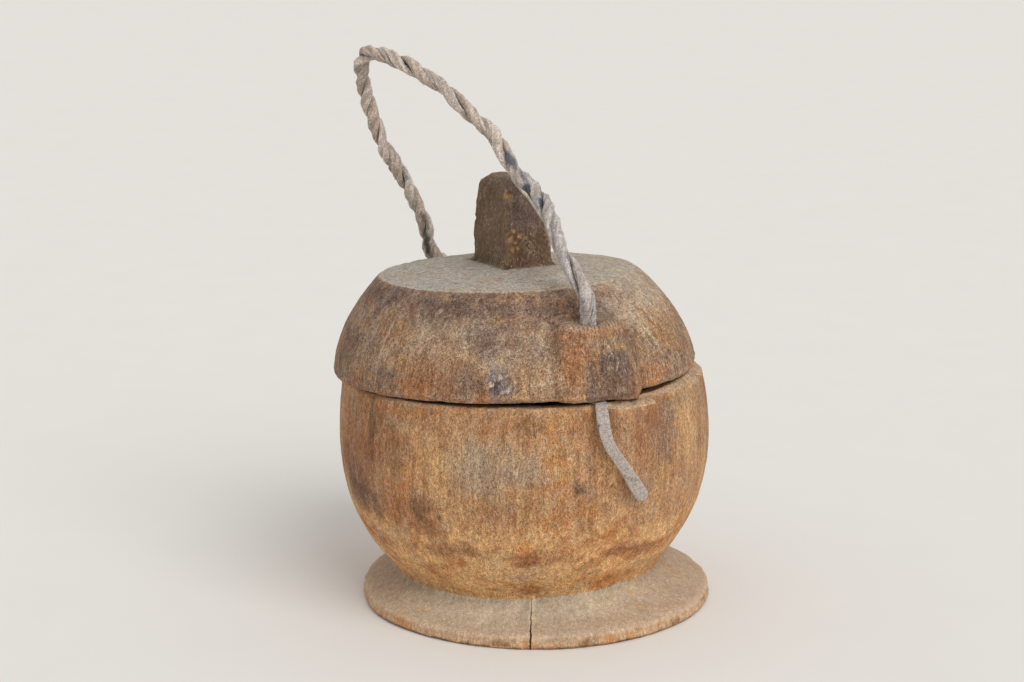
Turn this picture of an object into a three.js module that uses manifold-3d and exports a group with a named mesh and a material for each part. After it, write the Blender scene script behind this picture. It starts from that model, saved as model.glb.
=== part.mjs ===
// A lidded bowl, carved by hand from two blocks of wood, with a handle of twisted cloth strips.
// Millimetres, +Z up, front towards -Y. The bowl and the lid are one block each, foot, lugs and knob
// included. The lid lifts off, and the handle swings about the line through the lid's two lug holes.
import * as THREE from "three";
import { mergeVertices } from "three/addons/utils/BufferGeometryUtils.js";
import Module from "manifold-3d";

// Bowl, with heights above the ground and radii from the bowl's own axis
const BELLY_RADIUS = 99.6;
const BELLY_HEIGHT = 90;
const BELLY_LEAN = { right: 3.2, front: 2.0 }; // degrees that the right and the front sides are raised
const NECK_RADIUS = 70;
const NECK_HEIGHT = 19;
const RIM_RADIUS = 95.8;
const RIM_HEIGHT = 124;
const RIM_TILT = { right: 0.45, front: 1.7 };
const RIM_CLIMB = { from: 40, right: 3.1 }; // beyond this X the rim is raised by more degrees on the right
const RIM_WORN = { width: 5, drop: 3 }; // there its outer edge is worn down, by this much over this width
const BOWL_LUG_FALL = 0.2; // the bowl's lugs slope down outwards on top, by this share
const BELLY_WALL = 13;
const RIM_WALL = 11.5;
const FLOOR_HEIGHT = 26; // bottom of the hollow

// Foot, a broad disc that spreads out under the belly
const FOOT_RADIUS = 94.5;
const FOOT_EDGE = 7.5; // height of its upright edge
const FOOT_EDGE_ROUND = 1.6;
const FOOT_SHIFT = 6.5; // its middle lies to the right of the bowl's axis
const CRACK_WIDTH = 1.1; // drying crack, at the edge of the foot
const CRACK_END_RADIUS = 66;
const CRACK_TURN = -2; // degrees from the front towards the right, as the lugs' turns

// Lid, with heights above its own flat underside
const LID_RADIUS = 96.6;
const LID_BASE_ROUND = 3; // the lower edge is rounded off this far
const LID_HEIGHT = 51.4; // up to the edge of the top
const LID_TOP_RADIUS = 70;
const LID_TOP_RISE = 3.3; // the top rises this much from its edge to the knob
const LID_TILT = { right: 1.85, front: 1.6 };
const LID_TOP_TILT = { right: 0.3, front: 0.4 }; // of the top, on the lid itself
const LID_TOP_SHIFT = -2.4; // the top lies this far along X from the underside's middle
const LID_SHIFT = -4.3; // the lid has slid this far along X
const LID_GAP = 2.8; // between rim and lid on the axis: the lid touches down at the left alone
const LIP_OUTER_RADIUS = 78; // low ring that drops into the bowl's mouth
const LIP_WALL = 5;
const LIP_DEPTH = 4;
const LID_HOLLOW_DEPTH = 37;

// Knob on the lid
const KNOB_LENGTH = 46.5;
const KNOB_WIDTH = 27;
const KNOB_HEIGHT = 47;
const KNOB_TAPER = 0.8; // share of the base's size left where the rounded end begins
const KNOB_ROUND = 7;
const KNOB_TURN = 24; // degrees
const KNOB_SHIFT = { x: -0.2, y: 10 }; // from the lid's axis

// Lugs in pairs, one in front and one behind. A lug's turn is measured from the front towards +X.
const LID_LUG_TURN = 25;
const LID_LUG_WIDTH = { top: 39, foot: 44 };
const LID_LUG_HEIGHT = 38;
const LID_LUG_SKEW = 3.3; // the lug's foot lies this far to the right of its top
const LID_LUG_DROP = { left: 0.3, right: 2.8 }; // the front lug's outer edge hangs below the lid's edge
const LID_LUG_REACH = { ledge: 96, top: 96.5, foot: 100 }; // distance of the outer face from the lid's axis
const LID_LUG_BEVEL = { reach: 1.2, width: 1.5 }; // at the lug's lower end
const LID_LEDGE_RADIUS = 79; // the level ledge at the lug's top is cut back to here
const LID_LEDGE_SLOPE = { back: 4, rise: 9 }; // of the wall behind the ledge
const BOWL_LUG_TURN = 33.5;
const BOWL_LUG_WIDTH = { top: 32, foot: 29 };
const BOWL_LUG_FOOT = 76; // height of its lower end
const BOWL_LUG_REACH = { top: 103.5, foot: 101.4 };
const BOWL_LUG_RUN_OUT = { height: 12, width: 6 }; // it narrows so far where it runs out into the belly
const LUG_FACE_BULGE = 2; // the middle of a lug's outer face stands out this much from its edges
const LUG_EDGE_ROUND = 4;
const LUG_SHOULDER = { height: 9, width: 4 }; // a lid's lug narrows this much at each side of its top
const LID_HOLE_PLACE = 88; // distance of the hole's middle from the lid's axis

// Handle and tail of twisted cloth strips
const CORD_RADIUS = 3.5;
const HOLE_CLEARANCE = 1; // round the cord in the lid's lug holes
const LID_HOLE_RADIUS = CORD_RADIUS + HOLE_CLEARANCE;
const PIVOT_RISE = 3; // the handle bends this far above the ledge
const TOUCH = 0.3; // gap between faces that touch
const STRIP_WIDTH = 6.4;
const STRIP_THICKNESS = 1.2;
const STRIP_START = 2.5; // height of the tail's upper end in the lid's hole
const STRIP_TURN = 25.8; // it leaves the seam in this direction, beside the bowl's lug
const STRIP_DROP = { hole: 2.25, edge: 2.6 }; // below the lid's underside, at the hole and at the lid's edge

// Free part of the handle from the front lug to the back one, without its two ends
const HANDLE_ROUTE = [
  [30.4, -78.5, 179.3],
  [26, -75, 188.3],
  [20.1, -66, 197.9],
  [15.7, -52, 207.3],
  [12.3, -37, 215.9],
  [6.2, -24.5, 223.6],
  [-2.4, -15.5, 230.7],
  [-8.9, -7, 239.1],
  [-16.2, 2, 250.7],
  [-25.8, 10, 257.9],
  [-34.7, 17, 265.9],
  [-43.6, 23.5, 273.5],
  [-53.9, 30, 279.1],
  [-64.7, 36, 284.5],
  [-74.7, 42, 288],
  [-82.4, 47, 288.9],
  [-87.1, 51.5, 286.5],
  [-88.5, 54.5, 280],
  [-87.7, 57, 271],
  [-84.9, 60, 258],
  [-81.3, 62, 247.1],
  [-77.2, 64, 234.7],
  [-71.4, 66.5, 225.3],
  [-64.9, 69, 213.2],
  [-60, 71.5, 202],
  [-55.2, 74, 189.6],
  [-53.1, 76, 176.4],
  [-49, 79, 170],
];

// Tail below the lid's front lug, once it is clear of the seam
const TAIL_ROUTE = [
  [38.2, -92.8, 126.2],
  [39.5, -96.4, 117.2],
  [42.1, -98.4, 109.2],
  [46.6, -96.6, 101.7],
  [50.2, -93.8, 95.8],
  [54.4, -90.6, 88.1],
  [58.6, -87.6, 80.5],
  [59.6, -87.2, 77.5],
];

// How finely the round forms are cut
const SIDES = 72;
const CURVE_STEPS = 9;
const HOLE_SIDES = 16;
const CORD_SIDES = 10;
const HANDLE_STEPS = 60;
const WELD = 1e-4;
const PAST = 20; // how far a cutting form runs past what it cuts

const NO_DROP = { left: 0, right: 0 };
const DEG = Math.PI / 180;
const wasm = await Module();
wasm.setup();

// A closed geometry as a solid that can be joined and cut
function solidOf(geometry, matrix = new THREE.Matrix4()) {
  const loose = geometry.index ? geometry.toNonIndexed() : geometry.clone();
  loose.deleteAttribute("normal");
  loose.deleteAttribute("uv");
  const merged = mergeVertices(loose.applyMatrix4(matrix), WELD);
  const corners = merged.index.array;
  const kept = [];
  for (let i = 0; i < corners.length; i += 3) {
    const [a, b, c] = corners.subarray(i, i + 3);
    if (a !== b && b !== c && c !== a) kept.push(a, b, c);
  }
  return new wasm.Manifold(
    new wasm.Mesh({
      numProp: 3,
      vertProperties: merged.attributes.position.array,
      triVerts: new Uint32Array(kept),
    }),
  );
}

// A named mesh of a finished solid
function meshOf(name, solid, color, roughness) {
  const { vertProperties, triVerts } = solid.getMesh();
  const geometry = new THREE.BufferGeometry();
  geometry.setAttribute("position", new THREE.BufferAttribute(vertProperties, 3));
  geometry.setIndex(new THREE.BufferAttribute(triVerts, 1));
  geometry.computeVertexNormals();
  const mesh = new THREE.Mesh(geometry, new THREE.MeshStandardMaterial({ color, roughness, metalness: 0 }));
  mesh.name = name;
  return mesh;
}

// Rotation that raises the right side and the front side by these degrees
function tilt({ right, front }) {
  return new THREE.Matrix4().makeRotationFromEuler(new THREE.Euler(-front * DEG, -right * DEG, 0));
}

// The same, about a point on the vertical axis
function tiltAbout(height, angles) {
  return new THREE.Matrix4()
    .makeTranslation(0, 0, height)
    .multiply(tilt(angles))
    .multiply(new THREE.Matrix4().makeTranslation(0, 0, -height));
}

// Turns +X to the lug direction: degrees from the front towards the right
function turnTo(degrees) {
  return new THREE.Matrix4().makeRotationZ((degrees - 90) * DEG);
}

// A turned form about the vertical axis, from a profile of [radius, height] that starts at the axis
// below and ends on it above
function turned(profile, sides = SIDES) {
  const points = profile.map(([radius, height]) => new THREE.Vector2(radius, height));
  return new THREE.LatheGeometry(points, sides).rotateX(Math.PI / 2);
}

// Points of a smooth curve in the profile plane, from its first point to its last
function curved(start, near, far, end, steps = CURVE_STEPS) {
  const curve = new THREE.CubicBezierCurve(...[start, near, far, end].map((p) => new THREE.Vector2(...p)));
  return curve.getPoints(steps).map((p) => [p.x, p.y]);
}

// The slight unevenness of a form that was cut by eye, as a change of each point's distance to the axis
function carvedByHand(geometry, depth, phase) {
  const position = geometry.attributes.position;
  for (let i = 0; i < position.count; i++) {
    const [x, y, z] = [position.getX(i), position.getY(i), position.getZ(i)];
    const angle = Math.atan2(y, x);
    const wave = Math.sin(3 * angle + phase + z / 60) + 0.6 * Math.sin(5 * angle - 2 * phase + z / 35);
    const radius = Math.hypot(x, y);
    const share = radius > 0 ? 1 + (depth * wave * Math.min(1, radius / LID_TOP_RADIUS)) / radius : 1;
    position.setXY(i, x * share, y * share);
  }
  return geometry;
}

// A closed form through level outlines, from the lowest to the highest
function lofted(rings) {
  const count = rings[0].length;
  const index = [];
  for (let k = 0; k + 1 < rings.length; k++) {
    for (let i = 0; i < count; i++) {
      const [a, b] = [k * count + i, k * count + ((i + 1) % count)];
      index.push(a, b, b + count, a, b + count, a + count);
    }
  }
  const last = (rings.length - 1) * count;
  for (let i = 1; i + 1 < count; i++) {
    index.push(0, i + 1, i, last, last + i, last + i + 1);
  }
  const geometry = new THREE.BufferGeometry();
  geometry.setAttribute("position", new THREE.Float32BufferAttribute(rings.flat(2), 3));
  geometry.setIndex(index);
  return geometry;
}

// A rectangle with rounded corners in a level plane, as a ring of points
function roundedRing(x0, x1, halfWidth, radius, z) {
  const corners = [
    [x1 - radius, halfWidth - radius, 0],
    [x0 + radius, halfWidth - radius, 90],
    [x0 + radius, radius - halfWidth, 180],
    [x1 - radius, radius - halfWidth, 270],
  ];
  return corners.flatMap(([x, y, start]) =>
    [0, 30, 60, 90].map((turn) => {
      const angle = (start + turn) * DEG;
      return [x + radius * Math.cos(angle), y + radius * Math.sin(angle), z];
    }),
  );
}

// The outline of a lug in a level plane: square at the back, where it runs into the wall, with a
// slightly bulging outer face and rounded edges
function lugRing(back, reach, width, z) {
  const [half, round] = [width / 2, LUG_EDGE_ROUND];
  const edge = reach - LUG_FACE_BULGE - round;
  const corner = [0, 25, 50, 75].map((turn) => [
    edge + round * Math.sin(turn * DEG),
    half - round + round * Math.cos(turn * DEG),
    z,
  ]);
  const right = [[back, half, z], ...corner, [reach - LUG_FACE_BULGE * 0.3, half * 0.4, z]];
  return [...right.map(([x, y]) => [x, -y, z]), ...right.reverse()];
}

// A lug's ring moved sideways and let down, less at its left edge than at its right one
function hung(ring, skew, drop) {
  const half = Math.max(...ring.map(([, y]) => y));
  return ring.map(([x, y, z]) => {
    const share = (1 + y / half) / 2;
    return [x, y + skew, z - drop.left * (1 - share) - drop.right * share];
  });
}

// A round rod from one point to another
function rod(from, to, radius, sides = HOLE_SIDES) {
  const [a, b] = [new THREE.Vector3(...from), new THREE.Vector3(...to)];
  const along = b.clone().sub(a);
  const turn = new THREE.Quaternion().setFromUnitVectors(new THREE.Vector3(0, 1, 0), along.clone().normalize());
  const matrix = new THREE.Matrix4().compose(a.add(b).multiplyScalar(0.5), turn, new THREE.Vector3(1, 1, 1));
  return solidOf(new THREE.CylinderGeometry(radius, radius, along.length(), sides), matrix);
}

// Everything above the plane that a matrix sets, as a block to cut with
function blockAbove(matrix) {
  const size = 4 * BELLY_RADIUS;
  return solidOf(new THREE.BoxGeometry(size, size, size).translate(0, 0, size / 2), matrix);
}

// Both lugs of a pair, from the form of the front one drawn along +X
function pairOf(geometry, turn) {
  return [0, 180].map((half) => solidOf(geometry, turnTo(turn + half)));
}

function bowlSolid() {
  const overRim = RIM_HEIGHT + PAST; // the profile runs past the rim, which is then cut on a slant
  const mouthRadius = RIM_RADIUS - RIM_WALL;
  const hollowRadius = BELLY_RADIUS - BELLY_WALL;
  const midRise = (RIM_HEIGHT - BELLY_HEIGHT) * 0.45;
  const outside = [
    ...curved(
      [NECK_RADIUS, NECK_HEIGHT],
      [NECK_RADIUS * 0.32 + BELLY_RADIUS * 0.68, NECK_HEIGHT * 0.73 + BELLY_HEIGHT * 0.27],
      [BELLY_RADIUS, NECK_HEIGHT * 0.42 + BELLY_HEIGHT * 0.58],
      [BELLY_RADIUS, BELLY_HEIGHT],
    ),
    ...curved(
      [BELLY_RADIUS, BELLY_HEIGHT],
      [BELLY_RADIUS, BELLY_HEIGHT + midRise],
      [RIM_RADIUS + 1.4, RIM_HEIGHT - midRise / 2],
      [RIM_RADIUS, RIM_HEIGHT],
      5,
    ).slice(1),
  ];
  const inside = [
    ...curved(
      [mouthRadius, RIM_HEIGHT],
      [mouthRadius + 1, RIM_HEIGHT - midRise / 2],
      [hollowRadius, BELLY_HEIGHT + midRise],
      [hollowRadius, BELLY_HEIGHT],
      4,
    ),
    ...curved(
      [hollowRadius, BELLY_HEIGHT],
      [hollowRadius, FLOOR_HEIGHT * 0.64 + BELLY_HEIGHT * 0.36],
      [hollowRadius * 0.78, FLOOR_HEIGHT],
      [0, FLOOR_HEIGHT],
      7,
    ).slice(1),
  ];
  const lean = tiltAbout(BELLY_HEIGHT, BELLY_LEAN);
  const shell = turned([
    [0, FOOT_EDGE / 2],
    [NECK_RADIUS - NECK_HEIGHT, FOOT_EDGE / 2],
    ...outside,
    [RIM_RADIUS - 1, overRim],
    [mouthRadius, overRim],
    ...inside,
  ]);
  const hollow = turned([[0, overRim + 1], [mouthRadius, overRim + 1], ...inside].reverse());
  const lug = lofted([
    lugRing(NECK_RADIUS, BELLY_RADIUS - 2, BOWL_LUG_WIDTH.foot - BOWL_LUG_RUN_OUT.width, BOWL_LUG_FOOT),
    lugRing(NECK_RADIUS, BOWL_LUG_REACH.foot, BOWL_LUG_WIDTH.foot, BOWL_LUG_FOOT + BOWL_LUG_RUN_OUT.height),
    lugRing(NECK_RADIUS, BOWL_LUG_REACH.top, BOWL_LUG_WIDTH.top, overRim),
  ]);
  let bowl = solidOf(carvedByHand(shell, 0.5, 1), lean);
  for (const one of pairOf(lug, BOWL_LUG_TURN)) bowl = bowl.add(one);
  bowl = bowl.subtract(solidOf(carvedByHand(hollow, 0.5, 1), lean));
  bowl = bowl.add(footSolid());
  const rim = tiltAbout(RIM_HEIGHT, RIM_TILT).multiply(heightOf(RIM_HEIGHT));
  const climb = rim.clone().multiply(new THREE.Matrix4().makeTranslation(RIM_CLIMB.from, 0, 0));
  climb.multiply(tilt({ right: RIM_CLIMB.right, front: 0 }));
  bowl = bowl.subtract(blockAbove(rim).intersect(blockAbove(climb)));
  return bowl.intersect(wornRim(rim, lean)).subtract(crackSolid());
}

// Everything that is left below the rim when its outer edge is worn down and the lugs' tops slope
function wornRim(rim, lean) {
  const outer = BELLY_RADIUS + PAST;
  const form = turned([
    [0, -2 * RIM_HEIGHT],
    [outer, -2 * RIM_HEIGHT],
    [outer, (RIM_RADIUS - outer) * BOWL_LUG_FALL],
    [RIM_RADIUS, 0],
    [RIM_RADIUS - RIM_WORN.width, RIM_WORN.drop],
    [0, RIM_WORN.drop],
  ]);
  const axis = new THREE.Vector3(0, 0, RIM_HEIGHT).applyMatrix4(lean);
  return solidOf(form, rim.clone().multiply(new THREE.Matrix4().makeTranslation(axis.x, axis.y, 0)));
}

function heightOf(height) {
  return new THREE.Matrix4().makeTranslation(0, 0, height);
}

// The foot's disc, whose upper face rises towards the belly in a shallow hollow curve
function footSolid() {
  const profile = [
    [0, 0],
    [FOOT_RADIUS - FOOT_EDGE_ROUND, 0],
    [FOOT_RADIUS, FOOT_EDGE_ROUND],
    [FOOT_RADIUS, FOOT_EDGE - FOOT_EDGE_ROUND / 2],
    ...curved(
      [FOOT_RADIUS - FOOT_EDGE_ROUND, FOOT_EDGE],
      [FOOT_RADIUS - 9, FOOT_EDGE + 3],
      [NECK_RADIUS + 5, NECK_HEIGHT - 3],
      [NECK_RADIUS - 6, NECK_HEIGHT + 3],
      6,
    ),
    [0, NECK_HEIGHT + 3],
  ];
  return solidOf(carvedByHand(turned(profile), 0.35, 2), new THREE.Matrix4().makeTranslation(FOOT_SHIFT, 0, 0));
}

// A wedge that is as wide as the crack at the foot's edge and runs out to nothing near the belly
function crackSolid() {
  const [inner, outer] = [CRACK_END_RADIUS, FOOT_RADIUS + 5];
  const ring = (z) => [
    [inner, 0, z],
    [outer, -CRACK_WIDTH / 2, z],
    [outer, CRACK_WIDTH / 2, z],
  ];
  const wedge = lofted([ring(-1), ring(FOOT_EDGE + NECK_HEIGHT)]);
  const place = new THREE.Matrix4().makeTranslation(FOOT_SHIFT, 0, 0).multiply(turnTo(CRACK_TURN));
  return solidOf(wedge, place);
}

// Moves the top of the lid to one side and tips it, in proportion to the height
function topTilted(geometry) {
  const position = geometry.attributes.position;
  const [right, front] = [Math.tan(LID_TOP_TILT.right * DEG), Math.tan(LID_TOP_TILT.front * DEG)];
  for (let i = 0; i < position.count; i++) {
    const z = position.getZ(i);
    const share = Math.max(0, z / LID_HEIGHT);
    position.setZ(i, z + share * (position.getX(i) * right - position.getY(i) * front));
    position.setX(i, position.getX(i) + share * LID_TOP_SHIFT);
  }
  return geometry;
}

function lidSolid() {
  const side = curved(
    [LID_RADIUS, LID_BASE_ROUND],
    [LID_RADIUS - 1.5, LID_HEIGHT * 0.39],
    [LID_RADIUS * 0.52 + LID_TOP_RADIUS * 0.48, LID_HEIGHT * 0.7],
    [LID_TOP_RADIUS, LID_HEIGHT - 1],
  );
  const outside = turned([
    [0, 0],
    [LID_RADIUS - LID_BASE_ROUND, 0],
    [LID_RADIUS - LID_BASE_ROUND * 0.3, LID_BASE_ROUND * 0.35],
    ...side,
    [LID_TOP_RADIUS - 1.4, LID_HEIGHT],
    [LID_TOP_RADIUS * 0.6, LID_HEIGHT + LID_TOP_RISE * 0.7],
    [0, LID_HEIGHT + LID_TOP_RISE],
  ]);
  const lip = turned([
    [0, -LIP_DEPTH],
    [LIP_OUTER_RADIUS - 1, -LIP_DEPTH],
    [LIP_OUTER_RADIUS, 1 - LIP_DEPTH],
    [LIP_OUTER_RADIUS, 1],
    [0, 1],
  ]);
  const hollowRadius = LIP_OUTER_RADIUS - LIP_WALL;
  const hollow = turned([
    [0, -LIP_DEPTH - 1],
    ...curved(
      [hollowRadius, -LIP_DEPTH - 1],
      [hollowRadius - 2, LID_HOLLOW_DEPTH * 0.55],
      [hollowRadius * 0.68, LID_HOLLOW_DEPTH],
      [0, LID_HOLLOW_DEPTH],
      7,
    ),
  ]);
  const lugBack = LID_HOLE_PLACE - 2 * LID_HOLE_RADIUS - LIP_WALL;
  const topWidth = LID_LUG_WIDTH.top - 2 * LUG_SHOULDER.width;
  const footReach = LID_LUG_REACH.foot - LID_LUG_BEVEL.reach;
  const footWidth = LID_LUG_WIDTH.foot - LID_LUG_BEVEL.width;
  const lugs = [LID_LUG_DROP, NO_DROP].map((drop) =>
    lofted([
      hung(lugRing(LID_RADIUS - LUG_EDGE_ROUND, footReach, footWidth, 0), LID_LUG_SKEW, drop),
      hung(lugRing(lugBack, LID_LUG_REACH.foot, LID_LUG_WIDTH.foot, LID_BASE_ROUND / 2), LID_LUG_SKEW, NO_DROP),
      lugRing(lugBack, LID_LUG_REACH.top, LID_LUG_WIDTH.top, LID_LUG_HEIGHT - LUG_SHOULDER.height),
      lugRing(lugBack, LID_LUG_REACH.ledge, topWidth, LID_LUG_HEIGHT),
    ]),
  );
  const ledge = lofted([
    roundedRing(LID_LEDGE_RADIUS, LID_RADIUS + PAST, topWidth / 2, LID_BASE_ROUND, LID_LUG_HEIGHT),
    roundedRing(
      LID_LEDGE_RADIUS - LID_LEDGE_SLOPE.back,
      LID_RADIUS + PAST,
      LID_LUG_WIDTH.top / 2,
      LID_BASE_ROUND,
      LID_LUG_HEIGHT + LID_LEDGE_SLOPE.rise,
    ),
  ]);
  let lid = solidOf(topTilted(carvedByHand(outside, 0.5, 4))).add(solidOf(lip));
  for (const one of pairOf(ledge, LID_LUG_TURN)) lid = lid.subtract(one);
  lugs.forEach((lug, i) => {
    lid = lid.add(solidOf(lug, turnTo(LID_LUG_TURN + 180 * i)));
  });
  lid = lid.subtract(solidOf(hollow)).add(knobSolid());
  for (const half of [0, 180]) {
    const place = new THREE.Vector3(LID_HOLE_PLACE, 0, 0).applyMatrix4(turnTo(LID_LUG_TURN + half));
    lid = lid.subtract(rod([place.x, place.y, -5], [place.x, place.y, LID_HEIGHT + PAST], LID_HOLE_RADIUS));
  }
  return lid;
}

// The knob: a block that tapers upwards and ends in a rounded crown
function knobSolid() {
  const straight = KNOB_HEIGHT - KNOB_ROUND;
  const base = LID_HEIGHT + LID_TOP_RISE;
  const ringAt = (share, inset, z) => {
    const [halfLength, halfWidth] = [(KNOB_LENGTH * share) / 2 - inset, (KNOB_WIDTH * share) / 2 - inset];
    return roundedRing(-halfLength, halfLength, halfWidth, 2.2, base + z);
  };
  const sides = [-8, 0, 0.3 * straight, 0.65 * straight, straight].map((z) =>
    ringAt(1 - (1 - KNOB_TAPER) * (Math.max(0, z) / straight) ** 1.6, 0, z),
  );
  const crown = [25, 50, 72].map((angle) =>
    ringAt(KNOB_TAPER, KNOB_ROUND * (1 - Math.cos(angle * DEG)), straight + KNOB_ROUND * Math.sin(angle * DEG)),
  );
  const place = new THREE.Matrix4()
    .makeTranslation(KNOB_SHIFT.x, KNOB_SHIFT.y, 0)
    .multiply(turnTo(KNOB_TURN));
  return solidOf(lofted([...sides, ...crown]), place);
}

// A tube of the cord's thickness along a smooth curve through these points
function tube(points, steps) {
  const section = new THREE.Shape();
  section.absarc(0, 0, CORD_RADIUS, 0, 2 * Math.PI, false);
  const extrudePath = new THREE.CatmullRomCurve3(points, false, "centripetal");
  return solidOf(
    new THREE.ExtrudeGeometry(section, { steps, curveSegments: CORD_SIDES / 2, bevelEnabled: false, extrudePath }),
  );
}

// A ball end of the handle, on which it swings
function ball(point) {
  const sphere = new THREE.SphereGeometry(CORD_RADIUS, CORD_SIDES, 8);
  return solidOf(sphere, new THREE.Matrix4().makeTranslation(point.x, point.y, point.z));
}

// The flat strip of the tail: width across, thickness outwards
function strip(points, steps) {
  const curve = new THREE.CatmullRomCurve3(points, false, "centripetal");
  const across = new THREE.Vector3(0, 1, 0).applyMatrix4(turnTo(LID_LUG_TURN));
  const rings = [];
  for (let k = 0; k <= steps; k++) {
    const middle = curve.getPoint(k / steps);
    const along = curve.getTangent(k / steps);
    const side = across.clone().addScaledVector(along, -across.dot(along)).normalize();
    const face = along.clone().cross(side).normalize();
    const [w, t] = [STRIP_WIDTH / 2, STRIP_THICKNESS / 2];
    const ring = [
      [-w, -t * 0.4],
      [-w + t, -t],
      [w - t, -t],
      [w, -t * 0.4],
      [w, t * 0.4],
      [w - t, t],
      [t - w, t],
      [-w, t * 0.4],
    ].map(([u, v]) => middle.clone().addScaledVector(side, u).addScaledVector(face, v).toArray());
    rings.push(ring);
  }
  return solidOf(lofted(rings));
}

// The lid's frame, with its underside above the rim
const lidFrame = new THREE.Group();
lidFrame.position.set(0, 0, RIM_HEIGHT + LID_GAP);
lidFrame.setRotationFromMatrix(tilt(LID_TILT));
lidFrame.translateX(LID_SHIFT);
lidFrame.updateMatrix();

// A point in the hole of a lid's lug, at a height above the lid's underside
function inLugHole(half, height) {
  return new THREE.Vector3(LID_HOLE_PLACE, 0, height)
    .applyMatrix4(turnTo(LID_LUG_TURN + half))
    .applyMatrix4(lidFrame.matrix);
}

// The stretch of the cord that fills a lug's hole, from the handle's end down to the lid's underside
function cordInLug(half) {
  const top = inLugHole(half, LID_LUG_HEIGHT + PIVOT_RISE - CORD_RADIUS - TOUCH);
  const foot = inLugHole(half, STRIP_START + TOUCH + STRIP_THICKNESS / 2);
  return rod(foot.toArray(), top.toArray(), CORD_RADIUS, CORD_SIDES);
}

function handleSolid() {
  const [front, back] = [0, 180].map((half) => inLugHole(half, LID_LUG_HEIGHT + PIVOT_RISE));
  const middle = HANDLE_ROUTE.map((p) => new THREE.Vector3(...p));
  return tube([front, ...middle, back], HANDLE_STEPS).add(ball(front)).add(ball(back));
}

function tailSolid() {
  const seamPoint = (turn, reach, drop) =>
    new THREE.Vector3(reach, 0, -drop).applyMatrix4(turnTo(turn)).applyMatrix4(lidFrame.matrix);
  const start = [
    inLugHole(0, STRIP_START),
    inLugHole(0, STRIP_START - 1.5),
    seamPoint(LID_LUG_TURN, LID_HOLE_PLACE + 3, STRIP_DROP.hole),
    seamPoint(STRIP_TURN, LID_RADIUS, STRIP_DROP.edge),
  ];
  return strip([...start, ...TAIL_ROUTE.map((p) => new THREE.Vector3(...p))], 24);
}

const WOOD = 0x9a6b3f;
const DARK_WOOD = 0x6f5138;
const CLOTH = 0x8f8579;

const bowl = meshOf("bowl", bowlSolid(), WOOD, 0.75);
const lid = meshOf("lid", lidSolid(), DARK_WOOD, 0.7);
lidFrame.add(lid);
const cords = [
  meshOf("handle_cord", handleSolid(), CLOTH, 0.95),
  meshOf("cord_in_front_lug", cordInLug(0), CLOTH, 0.95),
  meshOf("cord_in_back_lug", cordInLug(180), CLOTH, 0.95),
  meshOf("cord_tail", tailSolid(), CLOTH, 0.95),
];

// The origin is under the middle of the wood, on the ground
const liddedBowl = new THREE.Group();
liddedBowl.add(bowl, lidFrame);
const middle = new THREE.Box3().setFromObject(liddedBowl, true).getCenter(new THREE.Vector3());
liddedBowl.add(...cords);
liddedBowl.position.set(-middle.x, -middle.y, 0);

export default liddedBowl;
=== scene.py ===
"""Looks of a lidded wooden bowl with a handle of twisted cloth strips.

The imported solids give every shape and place. The two carved blocks are remeshed finely here, worn by
hand and painted, and the cord is laid again as strips of cloth wound round each other. Lengths are in
metres, turns are in degrees from the front towards the right, and colours are 0 to 255.
"""

from __future__ import annotations

import logging
import math
from dataclasses import dataclass, field
from enum import Enum

import bmesh
import bpy
import numpy as np
from mathutils import Matrix, Vector
from mathutils.kdtree import KDTree

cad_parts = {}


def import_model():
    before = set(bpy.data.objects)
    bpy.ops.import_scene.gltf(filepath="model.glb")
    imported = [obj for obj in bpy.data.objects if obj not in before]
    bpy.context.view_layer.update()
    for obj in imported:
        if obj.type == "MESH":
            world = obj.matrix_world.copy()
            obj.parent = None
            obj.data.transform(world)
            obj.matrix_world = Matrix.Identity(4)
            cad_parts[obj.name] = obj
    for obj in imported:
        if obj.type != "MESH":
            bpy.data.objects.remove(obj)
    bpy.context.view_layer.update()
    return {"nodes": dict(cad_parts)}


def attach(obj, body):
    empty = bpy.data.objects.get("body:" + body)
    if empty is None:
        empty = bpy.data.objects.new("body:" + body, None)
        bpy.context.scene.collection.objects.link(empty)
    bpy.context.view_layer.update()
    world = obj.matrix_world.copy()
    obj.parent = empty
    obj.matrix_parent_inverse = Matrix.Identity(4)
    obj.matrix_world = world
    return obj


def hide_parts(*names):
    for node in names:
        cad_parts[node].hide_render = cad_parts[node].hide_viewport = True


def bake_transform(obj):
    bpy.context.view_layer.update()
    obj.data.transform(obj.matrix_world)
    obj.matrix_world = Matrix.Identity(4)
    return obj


Socket = bpy.types.NodeSocket
LOG = logging.getLogger("lidded_bowl")
MM = 0.001
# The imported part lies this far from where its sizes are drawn.
ORIGIN_SHIFT = np.array([0.000155, -0.000668, 0.0])

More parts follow.
